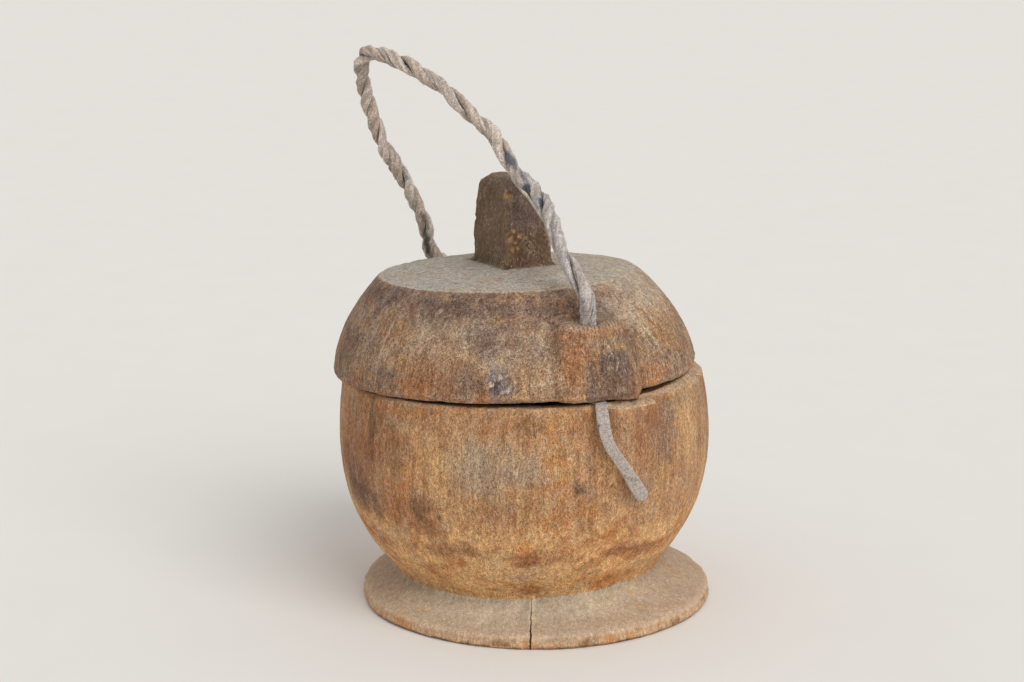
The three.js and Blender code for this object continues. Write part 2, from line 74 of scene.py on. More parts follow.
HANDLE_ROUTE = [
    (0.0304, -0.0785, 0.1793),
    (0.0260, -0.0750, 0.1883),
    (0.0201, -0.0660, 0.1979),
    (0.0157, -0.0520, 0.2073),
    (0.0123, -0.0370, 0.2159),
    (0.0062, -0.0245, 0.2236),
    (-0.0024, -0.0155, 0.2307),
    (-0.0089, -0.0070, 0.2391),
    (-0.0162, 0.0020, 0.2507),
    (-0.0258, 0.0100, 0.2579),
    (-0.0347, 0.0170, 0.2659),
    (-0.0436, 0.0235, 0.2735),
    (-0.0539, 0.0300, 0.2791),
    (-0.0647, 0.0360, 0.2845),
    (-0.0747, 0.0420, 0.2880),
    (-0.0824, 0.0470, 0.2889),
    (-0.0871, 0.0515, 0.2865),
    (-0.0885, 0.0545, 0.2800),
    (-0.0877, 0.0570, 0.2710),
    (-0.0849, 0.0600, 0.2580),
    (-0.0813, 0.0620, 0.2471),
    (-0.0772, 0.0640, 0.2347),
    (-0.0714, 0.0665, 0.2253),
    (-0.0649, 0.0690, 0.2132),
    (-0.0600, 0.0715, 0.2020),
    (-0.0552, 0.0740, 0.1896),
    (-0.0531, 0.0760, 0.1764),
    (-0.0490, 0.0790, 0.1700),
]
TAIL_ROUTE = [
    (0.0382, -0.0928, 0.1262),
    (0.0395, -0.0964, 0.1172),
    (0.0421, -0.0984, 0.1092),
    (0.0466, -0.0966, 0.1017),
    (0.0502, -0.0938, 0.0958),
    (0.0544, -0.0906, 0.0881),
    (0.0586, -0.0876, 0.0805),
    (0.0596, -0.0872, 0.0775),
]


class Tone(Enum):
    """Colours of the wood and of the cloth, as they look in even light."""

    HONEY = (184, 143, 101)
    TAN = (190, 153, 116)
    ORANGE = (176, 116, 66)
    GOLD = (203, 163, 112)
    RUSSET = (140, 92, 62)
    BROWN = (118, 84, 58)
    DARK = (84, 61, 45)
    UMBER = (122, 96, 76)
    PLUM = (101, 84, 80)
    ASH = (160, 146, 128)
    BONE = (196, 174, 146)
    FOOT = (181, 158, 133)
    LID = (150, 124, 100)
    LID_TOP = (176, 171, 162)
    KNOB = (112, 91, 69)
    # Painted shade for the insides of the bowl and of the lid.
    HOLLOW_SHADE = (128, 96, 68)
    SOOT = (44, 33, 26)
    CLOTH = (186, 170, 156)
    CLOTH_GREY = (166, 161, 160)
    CLOTH_PALE = (206, 195, 184)
    INDIGO = (70, 78, 92)
    MOSS = (62, 64, 54)
    SLATE = (112, 108, 116)
    OCHRE = (186, 142, 88)
    CREAM = (214, 202, 178)

    @property
    def rgb(self) -> np.ndarray:
        """The colour as three numbers from 0 to 1."""
        return np.array(self.value) / 255.0


def linear(colour: np.ndarray) -> np.ndarray:
    """Turns display colours into the linear ones that shaders work in.

    Args:
        colour: Display colours from 0 to 1.

    Returns:
        Linear colours of the same shape.
    """
    return np.where(colour <= 0.04045, colour / 12.92, ((np.maximum(colour, 0.0) + 0.055) / 1.055) ** 2.4)


def ease(low: float, high: float, value: np.ndarray) -> np.ndarray:
    """A smooth step from 0 at low to 1 at high, which may lie in either order."""
    share = np.clip((value - low) / (high - low), 0.0, 1.0)
    return share * share * (3.0 - 2.0 * share)


def apart(turn: np.ndarray, other: float) -> np.ndarray:
    """Degrees from one direction to another, from -180 to 180."""
    return (turn - other + 180.0) % 360.0 - 180.0


def turned_places(places: np.ndarray, turn: float) -> tuple[np.ndarray, np.ndarray]:
    """How far places lie along a direction and across it, seen from above.

    Args:
        places: Their X and Y, N by 2.
        turn: The direction.

    Returns:
        The two distances of each place.
    """
    angle = math.radians(turn - 90.0)
    cos, sin = math.cos(angle), math.sin(angle)
    return places @ (cos, sin), places @ (-sin, cos)


def lattice(points: np.ndarray, seed: int) -> np.ndarray:
    """Smooth noise on a grid of unit cells.

    Args:
        points: Places, N by 3, in cells.
        seed: Chooses the noise.

    Returns:
        N values from -1 to 1.
    """
    cell = np.floor(points).astype(np.int64)
    part = points - cell
    part = part * part * (3.0 - 2.0 * part)
    total = np.zeros(len(points))
    for corner in np.ndindex(2, 2, 2):
        at = cell + corner
        mixed = (at[:, 0] * 73856093) ^ (at[:, 1] * 19349663) ^ (at[:, 2] * 83492791) ^ (seed * 2654435761)
        mixed &= 0xFFFFFFFF
        mixed = ((mixed ^ (mixed >> 15)) * 0x2C1B3C6D) & 0xFFFFFFFF
        mixed = ((mixed ^ (mixed >> 12)) * 0x297A2D39) & 0xFFFFFFFF
        mixed ^= mixed >> 15
        weight = np.prod(np.where(np.array(corner) == 1, part, 1.0 - part), axis=1)
        total += weight * (mixed / 0x7FFFFFFF - 1.0)
    return total


def noise(points: np.ndarray, cell: tuple[float, float, float], seed: int, octaves: int = 3) -> np.ndarray:
    """Noise of several grain sizes.

    Args:
        points: Places, with X, Y and Z along the last axis.
        cell: Size of the coarsest cells along X, Y and Z.
        seed: Chooses the noise.
        octaves: How many times the cells are halved, plus one.

    Returns:
        A value for each place, mostly from -1 to 1.
    """
    at = points.reshape(-1, 3) / np.array(cell)
    total, strength, spread = np.zeros(len(at)), 1.0, 0.0
    for octave in range(octaves):
        total += strength * lattice(at * 2.0**octave + 17.3 * octave, seed + octave)
        spread += strength * strength
        strength *= 0.55
    return (total / math.sqrt(spread) * 1.35).reshape(points.shape[:-1])


def opaque(colour: np.ndarray) -> tuple[float, ...]:
    """The shader's colour for a display colour."""
    return (*linear(colour), 1.0)


def grey(value: float) -> tuple[float, ...]:
    """A neutral shader colour."""
    return (value, value, value, 1.0)


def put(name: str, data: bpy.types.ID) -> bpy.types.Object:
    """Puts a mesh, a lamp or a camera into the scene.

    Args:
        name: The object's name.
        data: What it shows.

    Returns:
        The new object.
    """
    made = bpy.data.objects.new(name, data)
    bpy.context.scene.collection.objects.link(made)
    return made


def painted_piece(
    name: str, mesh: bpy.types.Mesh, tint: np.ndarray, material: bpy.types.Material
) -> bpy.types.Object:
    """Makes a piece of a mesh.

    Args:
        name: The piece's name.
        mesh: Its mesh.
        tint: The display colour of each vertex, N by 3.
        material: Its finish.

    Returns:
        The piece, in the scene.
    """
    colours = np.ones((len(tint), 4))
    colours[:, :3] = linear(np.clip(tint, 0.0, 1.0))
    mesh.name = name
    mesh.attributes.new("tint", "FLOAT_COLOR", "POINT").data.foreach_set("color", colours.ravel())
    mesh.materials.clear()
    mesh.materials.append(material)
    return put(name, mesh)


@dataclass(frozen=True)
class LidSeat:
    """How the lid sits on the bowl, and where its lugs' holes are."""

    height: float = 0.1268
    raised_right: float = 1.85
    raised_front: float = 1.6
    slide: float = -0.0043
    lug_turn: float = 25.0
    hole_reach: float = 0.088

    def place(self, turn: float, reach: float, height: float) -> np.ndarray:
        """A point of the lid.

        Args:
            turn: Direction from the lid's axis.
            reach: Distance from the lid's axis.
            height: Height above the lid's underside.

        Returns:
            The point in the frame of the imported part.
        """
        angle = math.radians(turn - 90.0)
        point = Vector((reach * math.cos(angle) + self.slide, reach * math.sin(angle), height))
        tip = Matrix.Rotation(math.radians(-self.raised_front), 3, "X")
        tip = tip @ Matrix.Rotation(math.radians(-self.raised_right), 3, "Y")
        return np.array(tip @ point) + (0.0, 0.0, self.height) + ORIGIN_SHIFT

    def hole(self, height: float, half_turn: float = 0.0, outwards: float = 0.0) -> np.ndarray:
        """The middle of the front lug's hole at a height, or of the back one's, half a turn further."""
        return self.place(self.lug_turn + half_turn, self.hole_reach + outwards, height)


class Shader:
    """A material's node tree, with short ways to add nodes to it."""

    def __init__(self, name: str) -> None:
        """Makes the material.

        Args:
            name: The material's name.
        """
        self.material = bpy.data.materials.new(name)
        self.material.use_nodes = True
        self.tree = self.material.node_tree
        self.surface = self.tree.nodes["Principled BSDF"]
        self.where = self.node("TexCoord", {}).outputs["Object"]

    def node(self, kind: str, inputs: dict, **settings: object) -> bpy.types.Node:
        """Adds a node.

        Args:
            kind: The node's type, without the word ShaderNode.
            inputs: Sockets to link, or values to set, by the input's name or number.
            **settings: Properties of the node.

        Returns:
            The new node.
        """
        made = self.tree.nodes.new("ShaderNode" + kind)
        for name, value in settings.items():
            setattr(made, name, value)
        for key, value in inputs.items():
            if isinstance(value, Socket):
                self.tree.links.new(value, made.inputs[key])
            else:
                made.inputs[key].default_value = value
        return made

    def place(self, upright: float = 1.0) -> Socket:
        """The place on the piece in millimetres, with heights scaled by a share."""
        scale = [share / MM for share in (1.0, 1.0, upright)]
        return self.node("Mapping", {"Vector": self.where, "Scale": scale}).outputs[0]

    def painted(self, name: str, output: str = "Fac") -> Socket:
        """What is painted on the mesh under a name."""
        return self.node("Attribute", {}, attribute_name=name).outputs[output]

    def cloud(self, at: Socket, scale: float, detail: float = 3.0, rough: float = 0.6) -> Socket:
        """Noise from 0 to 1, with this many cells to the millimetre."""
        inputs = {"Vector": at, "Scale": scale, "Detail": detail, "Roughness": rough}
        return self.node("TexNoise", inputs).outputs["Fac"]

    def cells(self, at: Socket, scale: float) -> Socket:
        """Distance to the middle of the nearest of many scattered cells."""
        return self.node("TexVoronoi", {"Vector": at, "Scale": scale}).outputs["Distance"]

    def spread(
        self, value: Socket, low: float, high: float, start: float = 0.0, end: float = 1.0
    ) -> Socket:
        """Maps low to start and high to end, and holds the ends."""
        inputs = {"Value": value, "From Min": low, "From Max": high, "To Min": start, "To Max": end}
        return self.node("MapRange", inputs).outputs[0]

    def dots(self, at: Socket, scale: float, inner: float, outer: float) -> Socket:
        """Scattered dots: 1 in the inner part of each, 0 beyond the outer."""
        return self.spread(self.cells(at, scale), inner, outer, 1.0, 0.0)

    def maths(self, operation: str, first: object, second: object = 0.0) -> Socket:
        """The result of an operation on one or two sockets or numbers."""
        return self.node("Math", {0: first, 1: second}, operation=operation).outputs[0]

    def product(self, first: object, second: object) -> Socket:
        """One value times another."""
        return self.maths("MULTIPLY", first, second)

    def off_middle(self, at: Socket, scale: float, detail: float, rough: float) -> Socket:
        """How far a noise is from its middle, which it crosses along thin curving lines."""
        return self.maths("ABSOLUTE", self.maths("SUBTRACT", self.cloud(at, scale, detail, rough), 0.5))

    def along(self, at: Socket, direction: tuple[float, float, float]) -> Socket:
        """How far a place lies along a direction."""
        return self.node("VectorMath", {0: at, 1: direction}, operation="DOT_PRODUCT").outputs["Value"]

    def mixed(self, share: object, first: object, second: object, blend: str = "MIX") -> Socket:
        """A colour mixed of two, by a share from 0 to 1."""
        made = self.node("Mix", {0: share, 6: first, 7: second}, data_type="RGBA", blend_type=blend)
        return made.outputs[2]

    def over(self, colour: object, shade: object, cover: object, strength: float) -> Socket:
        """A colour with a shade over it where a cover from 0 to 1 says."""
        return self.mixed(self.product(cover, strength), colour, shade)

    def tinted(self, colour: object, factor: object) -> Socket:
        """A colour times another."""
        return self.mixed(1.0, colour, factor, "MULTIPLY")

    def finish(self, colour: object, rough: object, height: object, depth: float) -> bpy.types.Material:
        """Links the surface.

        Args:
            colour: Socket of the colour.
            rough: Socket of the roughness.
            height: Socket of the relief, from 0 to 1.
            depth: Depth of the relief in metres.

        Returns:
            The finished material.
        """
        bump = self.node("Bump", {"Strength": 1.0, "Distance": depth, "Height": height})
        for name, socket in (("Base Color", colour), ("Roughness", rough), ("Normal", bump.outputs[0])):
            self.tree.links.new(socket, self.surface.inputs[name])
        return self.material


@dataclass(frozen=True)
class Crack:
    """The drying crack that runs in from the foot's edge, widest outside."""

    turn: float = -2.0
    centre: tuple[float, float] = (0.0065, 0.0)
    reach: tuple[float, float] = (0.066, 0.095)
    top: float = 0.02
    narrow: float = 0.10
    wide: float = 0.42
    wander: float = 1.2

    def cover(self, wood: Shader) -> Socket:
        """Where the crack is open.

        Args:
            wood: The shader to add to.

        Returns:
            Socket of a value from 0 to 1.
        """
        turn = math.radians(self.turn)
        near, far, top = (value / MM for value in (*self.reach, self.top))
        part = wood.place()
        middle = (self.centre[0] / MM, self.centre[1] / MM, 0.0)
        at = wood.node("VectorMath", {0: part, 1: middle}, operation="SUBTRACT").outputs[0]
        reach = wood.along(at, (math.sin(turn), -math.cos(turn), 0.0))
        aside = wood.along(at, (math.cos(turn), math.sin(turn), 0.0))
        wander = wood.spread(wood.cloud(at, 0.16, 3.0), 0.0, 1.0, -self.wander, self.wander)
        aside = wood.maths("ABSOLUTE", wood.maths("ADD", aside, wander))
        gape = wood.maths("DIVIDE", aside, wood.spread(reach, near, far, self.narrow, self.wide))
        height = wood.node("SeparateXYZ", {0: part}).outputs["Z"]
        low = wood.spread(height, top, top + 1.0, 1.0, 0.0)
        low = wood.product(low, wood.spread(reach, near, far - 6.0, 0.0, 1.0))
        return wood.product(wood.spread(gape, 0.6, 1.3, 1.0, 0.0), low)


@dataclass(frozen=True)
class WoodFinish:
    """Bare, handled wood whose grain runs upwards.

    The mesh's painted tint gives the large colour changes. This adds what is finer than the mesh:
    fibres, speckle, grit, pores, flecks, veins, strokes, tool ticks, and the relief of them all.
    """

    name: str
    speckle: float = 0.5
    fibre: float = 0.6
    grit: float = 0.72
    pores: float = 0.6
    flecks: float = 0.3
    veins: float = 0.55
    strokes: float = 0.6
    splits: float = 0.55
    ticks: float = 0.75
    warmth: float = 0.4
    ticks_across: tuple[float, float, float] = (1.0, 0.0, 0.0)
    ticks_spacing: float = 2.1
    relief: float = 0.00035
    crack: Crack | None = None
    darkens: tuple[float, float, float] = (0.55, 0.62, 0.66)
    lightens: tuple[float, float, float] = (0.50, 0.54, 0.56)
    warm: tuple[float, ...] = (1.10, 0.98, 0.78, 1.0)
    dirt: tuple[float, ...] = (0.42, 0.38, 0.36, 1.0)

    def build(self) -> bpy.types.Material:
        """Makes the material.

        Returns:
            The finished wood.
        """
        wood = Shader(self.name)
        tint, calm = wood.painted("tint", "Color"), wood.painted("calm")
        along, long, even = (wood.place(upright) for upright in (0.34, 0.045, 0.8))
        fibres = wood.cloud(along, 1.5, 3.0, 0.75)
        speckle = wood.cloud(even, 0.62, 4.0, 0.78)
        pores = wood.dots(along, 1.05, 0.10, 0.32)
        pores = wood.product(pores, wood.spread(wood.cloud(even, 0.2, 2.0), 0.42, 0.6))
        flecks = wood.dots(wood.place(0.3), 0.75, 0.06, 0.26)
        flecks = wood.product(flecks, wood.spread(wood.cloud(even, 0.12, 3.0), 0.44, 0.62))

        colour = self.shaded(wood, tint, speckle, self.speckle, (0.36, 0.66))
        colour = self.shaded(wood, colour, fibres, self.fibre, (0.34, 0.68))
        colour = self.shaded(wood, colour, wood.cloud(even, 2.3, 2.0, 0.8), self.grit, (0.38, 0.64))
        colour = self.shaded(wood, colour, wood.cloud(long, 0.42, 4.0, 0.65), self.fibre * 0.7, (0.34, 0.66))
        warm = wood.spread(wood.cloud(along, 0.3, 3.0, 0.7), 0.46, 0.68, 0.0, self.warmth)
        colour = wood.mixed(warm, colour, wood.tinted(colour, self.warm))
        colour = wood.mixed(calm, colour, tint)
        dirt = wood.tinted(colour, self.dirt)
        pale, dark = opaque(Tone.BONE.rgb), opaque(Tone.DARK.rgb)
        colour = wood.over(colour, dirt, pores, self.pores)
        colour = wood.over(colour, pale, flecks, self.flecks)
        colour = wood.over(colour, pale, self.vein_lines(wood), self.veins)
        worn = wood.spread(calm, 0.0, 0.5, 1.0, 0.0)
        for shift, shade, strength in ((0.0, pale, self.strokes), (37.0, dark, self.strokes * 0.6)):
            strokes = wood.product(self.stroke_lines(wood, shift), worn)
            colour = wood.over(colour, shade, strokes, strength)
        colour = wood.over(colour, dirt, self.split_lines(wood, long), self.splits)
        ticks = self.tick_lines(wood)
        colour = wood.over(colour, pale, ticks, self.ticks)

        height = wood.product(fibres, 0.45)
        for value, rise in ((speckle, 0.75), (pores, -0.55), (ticks, -0.9)):
            height = wood.maths("ADD", height, wood.product(value, rise))
        if self.crack is not None:
            crack = self.crack.cover(wood)
            colour = wood.mixed(crack, colour, opaque(Tone.SOOT.rgb * 0.6))
            height = wood.maths("ADD", height, wood.product(crack, -3.0))
        wood.surface.inputs["Specular IOR Level"].default_value = 0.32
        return wood.finish(colour, wood.spread(speckle, 0.3, 0.7, 0.88, 0.66), height, self.relief)

    def shaded(
        self, wood: Shader, colour: object, value: object, strength: float, span: tuple[float, float]
    ) -> Socket:
        """Darkens and lightens a colour by a noise.

        Args:
            wood: The shader to add to.
            colour: Socket of the colour.
            value: Socket of the noise.
            strength: How far the colour changes, from 0 to 1.
            span: The noise's values at the darkest and at the lightest.

        Returns:
            Socket of the changed colour.
        """
        dark = wood.tinted(colour, (*(1.0 - strength * share for share in self.darkens), 1.0))
        light = wood.tinted(colour, (*(1.0 + strength * share for share in self.lightens), 1.0))
        return wood.mixed(wood.spread(value, *span), dark, light)

    @staticmethod
    def vein_lines(wood: Shader) -> Socket:
        """Fine, curving, pale scratches of long use, here and there.

        Args:
            wood: The shader to add to.

        Returns:
            Socket of a value from 0 to 1.
        """
        at = wood.place(0.7)
        coarse = wood.spread(wood.off_middle(at, 0.15, 4.0, 0.55), 0.0, 0.014, 1.0, 0.0)
        fine = wood.spread(wood.off_middle(at, 0.33, 4.0, 0.55), 0.0, 0.016, 1.0, 0.0)
        here = wood.spread(wood.cloud(at, 0.09, 2.0), 0.47, 0.6)
        return wood.product(wood.maths("MAXIMUM", coarse, fine), here)

    @staticmethod
    def stroke_lines(wood: Shader, shift: float) -> Socket:
        """Short sharp scratches, most of them upright and some leaning.

        Args:
            wood: The shader to add to.
            shift: Moves them, to get other ones, in millimetres.

        Returns:
            Socket of a value from 0 to 1.
        """
        at = wood.node("VectorMath", {0: wood.place(), 1: (shift, shift, 0.0)}).outputs[0]
        total: object = 0.0
        for lean, scale in ((0.08, 0.55), (0.55, 0.42), (-0.75, 0.36)):
            turned = wood.node("VectorRotate", {"Vector": at, "Angle": lean}, rotation_type="Y_AXIS")
            drawn = {0: turned.outputs[0], 1: (1.0, 1.0, 0.17)}
            drawn = wood.node("VectorMath", drawn, operation="MULTIPLY").outputs[0]
            total = wood.maths("MAXIMUM", total, wood.dots(drawn, scale, 0.07, 0.17))
        return wood.product(total, wood.spread(wood.cloud(at, 0.11, 3.0), 0.36, 0.56, 0.25, 1.0))

    @staticmethod
    def split_lines(wood: Shader, along: Socket) -> Socket:
        """Thin dark upright splits in the grain, where the mesh's attribute lines says so."""
        split = wood.spread(wood.off_middle(along, 0.5, 2.0, 0.5), 0.004, 0.02, 1.0, 0.0)
        return wood.product(split, wood.painted("lines"))

    def tick_lines(self, wood: Shader) -> Socket:
        """Thin, parallel, slightly uneven marks of a rasp, where the mesh's attribute ticks says so.

        Args:
            wood: The shader to add to.

        Returns:
            Socket of a value from 0 to 1.
        """
        at = wood.place()
        bend = wood.spread(wood.cloud(at, 0.35, 2.0), 0.0, 1.0, -1.6, 1.6)
        across = wood.maths("ADD", wood.along(at, self.ticks_across), bend)
        wave = wood.maths("SINE", wood.product(across, 2.0 * math.pi / self.ticks_spacing))
        return wood.product(wood.spread(wave, 0.2, 0.9), wood.painted("ticks"))


@dataclass(frozen=True)
class ClothFinish:
    """Felted, fibrous cotton strips, matt all over."""

    name: str
    relief: float = 0.00045
    sheen: float = 0.30
    darkest: float = 0.52
    lightest: float = 1.42
    warm: tuple[float, ...] = (1.02, 0.95, 0.88, 1.0)

    def build(self) -> bpy.types.Material:
        """Makes the material.

        Returns:
            The finished cloth.
        """
        cloth = Shader(self.name)
        tint = cloth.painted("tint", "Color")
        even = cloth.place()
        fuzz = cloth.cloud(even, 1.25, 2.0, 0.7)
        dark, light = (cloth.tinted(tint, grey(share)) for share in (self.darkest, self.lightest))
        colour = cloth.mixed(cloth.spread(fuzz, 0.28, 0.68), dark, light)
        patches = cloth.spread(cloth.cloud(even, 0.28, 3.0, 0.6), 0.4, 0.62)
        colour = cloth.mixed(patches, colour, cloth.tinted(colour, self.warm))
        specks = cloth.spread(cloth.cells(even, 0.36), 0.05, 0.16, 0.55, 0.0)
        colour = cloth.mixed(specks, colour, opaque(Tone.DARK.rgb))
        weave = cloth.product(cloth.cells(even, 2.2), 0.5)
        cloth.surface.inputs["Sheen Weight"].default_value = self.sheen
        cloth.surface.inputs["Specular IOR Level"].default_value = 0.15
        rough = cloth.spread(fuzz, 0.0, 1.0, 0.98, 0.86)
        return cloth.finish(colour, rough, cloth.maths("ADD", weave, fuzz), self.relief)


@dataclass(frozen=True)
class Stain:
    """A patch of another colour on an upright wall: an ellipse, or squarer and crisper with more corners."""

    turn: float
    height: float
    half_width: float
    half_height: float
    tone: Tone
    strength: float
    ragged: float = 0.45
    corners: float = 2.0

    def cover(self, wood: CarvedMesh, seed: int) -> np.ndarray:
        """How much of each vertex it covers.

        Args:
            wood: The mesh to stain.
            seed: Chooses its ragged edge.

        Returns:
            A share from 0 to the stain's strength for each vertex.
        """
        across = np.radians(apart(wood.turn, self.turn)) * wood.reach / self.half_width
        upwards = (wood.places[:, 2] - self.height) / self.half_height
        grain = min(self.half_width, self.half_height)
        rough = wood.noise(grain, grain * 1.6, seed)
        size = (np.abs(across) ** self.corners + np.abs(upwards) ** self.corners) ** (1.0 / self.corners)
        edge = ease(1.0 + 0.6 / self.corners, 1.0 - 1.3 / self.corners, size + self.ragged * rough)
        return self.strength * edge


@dataclass(frozen=True)
class Scratch:
    """A thin line of another colour on an upright wall, from one place to another."""

    start: tuple[float, float]
    end: tuple[float, float]
    width: float
    tone: Tone
    strength: float
    wall_reach: float = 0.092

    def cover(self, wood: CarvedMesh, seed: int) -> np.ndarray:
        """How much of each vertex it covers.

        Args:
            wood: The mesh to scratch.
            seed: Chooses where the line is broken.

        Returns:
            A share from 0 to the scratch's strength for each vertex.
        """
        middle = (self.start[0] + self.end[0]) / 2
        point = np.stack([np.radians(apart(wood.turn, middle)) * wood.reach, wood.places[:, 2]], 1)
        ends = []
        for turn, height in (self.start, self.end):
            ends.append(np.array([math.radians(turn - middle) * self.wall_reach, height]))
        line = ends[1] - ends[0]
        share = np.clip((point - ends[0]) @ line / (line @ line), 0.0, 1.0)
        off = np.linalg.norm(point - ends[0] - share[:, None] * line, axis=1)
        broken = 0.35 * wood.noise(4 * MM, 7 * MM, seed)
        return self.strength * ease(1.4, 0.5, off / self.width + broken)


@dataclass(frozen=True)
class Chip:
    """A small pale chip out of the wood."""

    place: tuple[float, float, float]
    size: float
    strength: float

    def cover(self, wood: CarvedMesh, seed: int) -> np.ndarray:
        """How much of each vertex it covers, from 0 to 1."""
        off = np.linalg.norm(wood.places - self.place, axis=1) / self.size
        return ease(1.25, 0.55, off + 0.5 * wood.noise(1.6 * MM, 1.6 * MM, seed, 2))


class CarvedMesh:
    """The fine mesh of one carved block: its vertices, faces and painted colours as arrays."""

    def __init__(self, node: bpy.types.Object, voxel: float, sharp: float = 28.0) -> None:
        """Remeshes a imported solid.

        Args:
            node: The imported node.
            voxel: Size of the new faces.
            sharp: Edges of the solid that turn by more degrees than this count as sharp.
        """
        coarse = bmesh.new()
        coarse.from_mesh(node.data)
        bmesh.ops.remove_doubles(coarse, verts=coarse.verts, dist=2e-6)
        corners = self.sharp_places(coarse, math.radians(sharp), voxel)
        welded = bpy.data.meshes.new("welded")
        coarse.to_mesh(welded)
        coarse.free()
        block = put("block", welded)
        remesh = block.modifiers.new("fine", "REMESH")
        remesh.mode = "VOXEL"
        remesh.voxel_size = voxel
        graph = bpy.context.evaluated_depsgraph_get()
        self.mesh = bpy.data.meshes.new_from_object(block.evaluated_get(graph))
        bpy.data.objects.remove(block)
        count = len(self.mesh.vertices)
        flat = np.empty(count * 3)
        self.mesh.vertices.foreach_get("co", flat)
        self.places = flat.reshape(-1, 3)
        pairs = np.empty(len(self.mesh.edges) * 2, np.int32)
        self.mesh.edges.foreach_get("vertices", pairs)
        self.edges = pairs.reshape(-1, 2)
        self.links = np.bincount(self.edges.ravel(), minlength=count)
        self.to_edge = self.distance_to(corners)
        self.tint = np.zeros((count, 3))
        self.ticks = np.zeros(count)
        self.lines = np.zeros(count)
        self.calm = np.zeros(count)

    @staticmethod
    def sharp_places(coarse: bmesh.types.BMesh, angle: float, step: float) -> np.ndarray:
        """Points along the solid's sharp edges.

        Args:
            coarse: The solid.
            angle: Least turn of a sharp edge, in radians.
            step: Greatest distance between points.

        Returns:
            The points, N by 3.
        """
        found = []
        for edge in coarse.edges:
            if len(edge.link_faces) == 2 and edge.calc_face_angle(0.0) > angle:
                first, last = (np.array(v.co) for v in edge.verts)
                count = max(2, int(np.linalg.norm(last - first) / step) + 1)
                found.extend(first + (last - first) * share for share in np.linspace(0.0, 1.0, count))
        return np.array(found)

    def distance_to(self, targets: np.ndarray) -> np.ndarray:
        """How near each vertex lies to some points.

        Args:
            targets: The points, N by 3.

        Returns:
            Each vertex's distance to the nearest of them.
        """
        tree = KDTree(len(targets))
        for index, target in enumerate(targets):
            tree.insert(target, index)
        tree.balance()
        return np.array([tree.find(place)[2] for place in self.places])

    @property
    def turn(self) -> np.ndarray:
        """Each vertex's direction from the upright axis."""
        return np.degrees(np.arctan2(self.places[:, 0], -self.places[:, 1]))

    @property
    def reach(self) -> np.ndarray:
        """Each vertex's distance from the upright axis."""
        return np.hypot(self.places[:, 0], self.places[:, 1])

    def noise(self, wide: float, tall: float, seed: int, octaves: int = 3) -> np.ndarray:
        """Noise at each vertex, with cells this wide and this tall."""
        return noise(self.places, (wide, wide, tall), seed, octaves)

    def neighbours(self, values: np.ndarray) -> np.ndarray:
        """Takes the mean over each vertex's neighbours.

        Args:
            values: Some values of each vertex, one vertex to a row.

        Returns:
            The means, in the same shape.
        """
        first, last = self.edges.T
        total = np.zeros_like(values)
        for axis in range(values.shape[1]):
            column = values[:, axis]
            total[:, axis] = np.bincount(first, column[last], len(values))
            total[:, axis] += np.bincount(last, column[first], len(values))
        return total / self.links[:, None]

    def relax(self, rounds: int, freedom: np.ndarray) -> None:
        """Smooths the surface.

        Args:
            rounds: How often each vertex moves towards its neighbours.
            freedom: How far each vertex goes, from 0 to 1.
        """
        for _ in range(rounds):
            self.places += freedom[:, None] * (self.neighbours(self.places) - self.places)

    def normals(self) -> np.ndarray:
        """Finds the surface's directions.

        Returns:
            The direction outwards at each vertex, N by 3.
        """
        self.mesh.vertices.foreach_set("co", self.places.ravel())
        self.mesh.update()
        flat = np.empty(len(self.places) * 3, np.float32)
        self.mesh.vertex_normals.foreach_get("vector", flat)
        return flat.reshape(-1, 3).astype(float)

    def raise_by(self, heights: np.ndarray) -> None:
        """Moves each vertex outwards by its height."""
        self.places += self.normals() * heights[:, None]

    def bulge(self, rounds: int = 6) -> np.ndarray:
        """Finds edges and hollows.

        Args:
            rounds: How many neighbours away still count.

        Returns:
            How much each vertex stands out, from -1 in a hollow to 1 on an edge.
        """
        around = self.places
        for _ in range(rounds):
            around = self.neighbours(around)
        out = ((self.places - around) * self.normals()).sum(1)
        return np.clip(out / (0.5 * MM), -1.0, 1.0)

    def colour(self, tone: Tone, share: np.ndarray | float) -> None:
        """Mixes a colour into the tint by a share from 0 to 1."""
        part = np.clip(np.broadcast_to(share, len(self.places)), 0.0, 1.0)[:, None]
        self.tint += (tone.rgb - self.tint) * part

    def shade(self, factor: np.ndarray) -> None:
        """Multiplies the tint."""
        self.tint *= factor[:, None]

    def wear_edges_shade_hollows(self, paler: float, darker: float) -> None:
        """Makes edges paler, as handling wears them, and hollows darker with painted shade."""
        bulge = self.bulge()
        self.shade(1.0 + paler * np.maximum(bulge, 0.0) + darker * np.minimum(bulge, 0.0))

    def finished(self, name: str, material: bpy.types.Material) -> bpy.types.Object:
        """Makes the object.

        Args:
            name: The piece's name.
            material: Its finish.

        Returns:
            The object, in the scene.
        """
        self.normals()
        self.mesh.shade_smooth()
        made = painted_piece(name, self.mesh, self.tint, material)
        for painted, values in (("ticks", self.ticks), ("lines", self.lines), ("calm", self.calm)):
            self.mesh.attributes.new(painted, "FLOAT", "POINT").data.foreach_set("value", values)
        return made


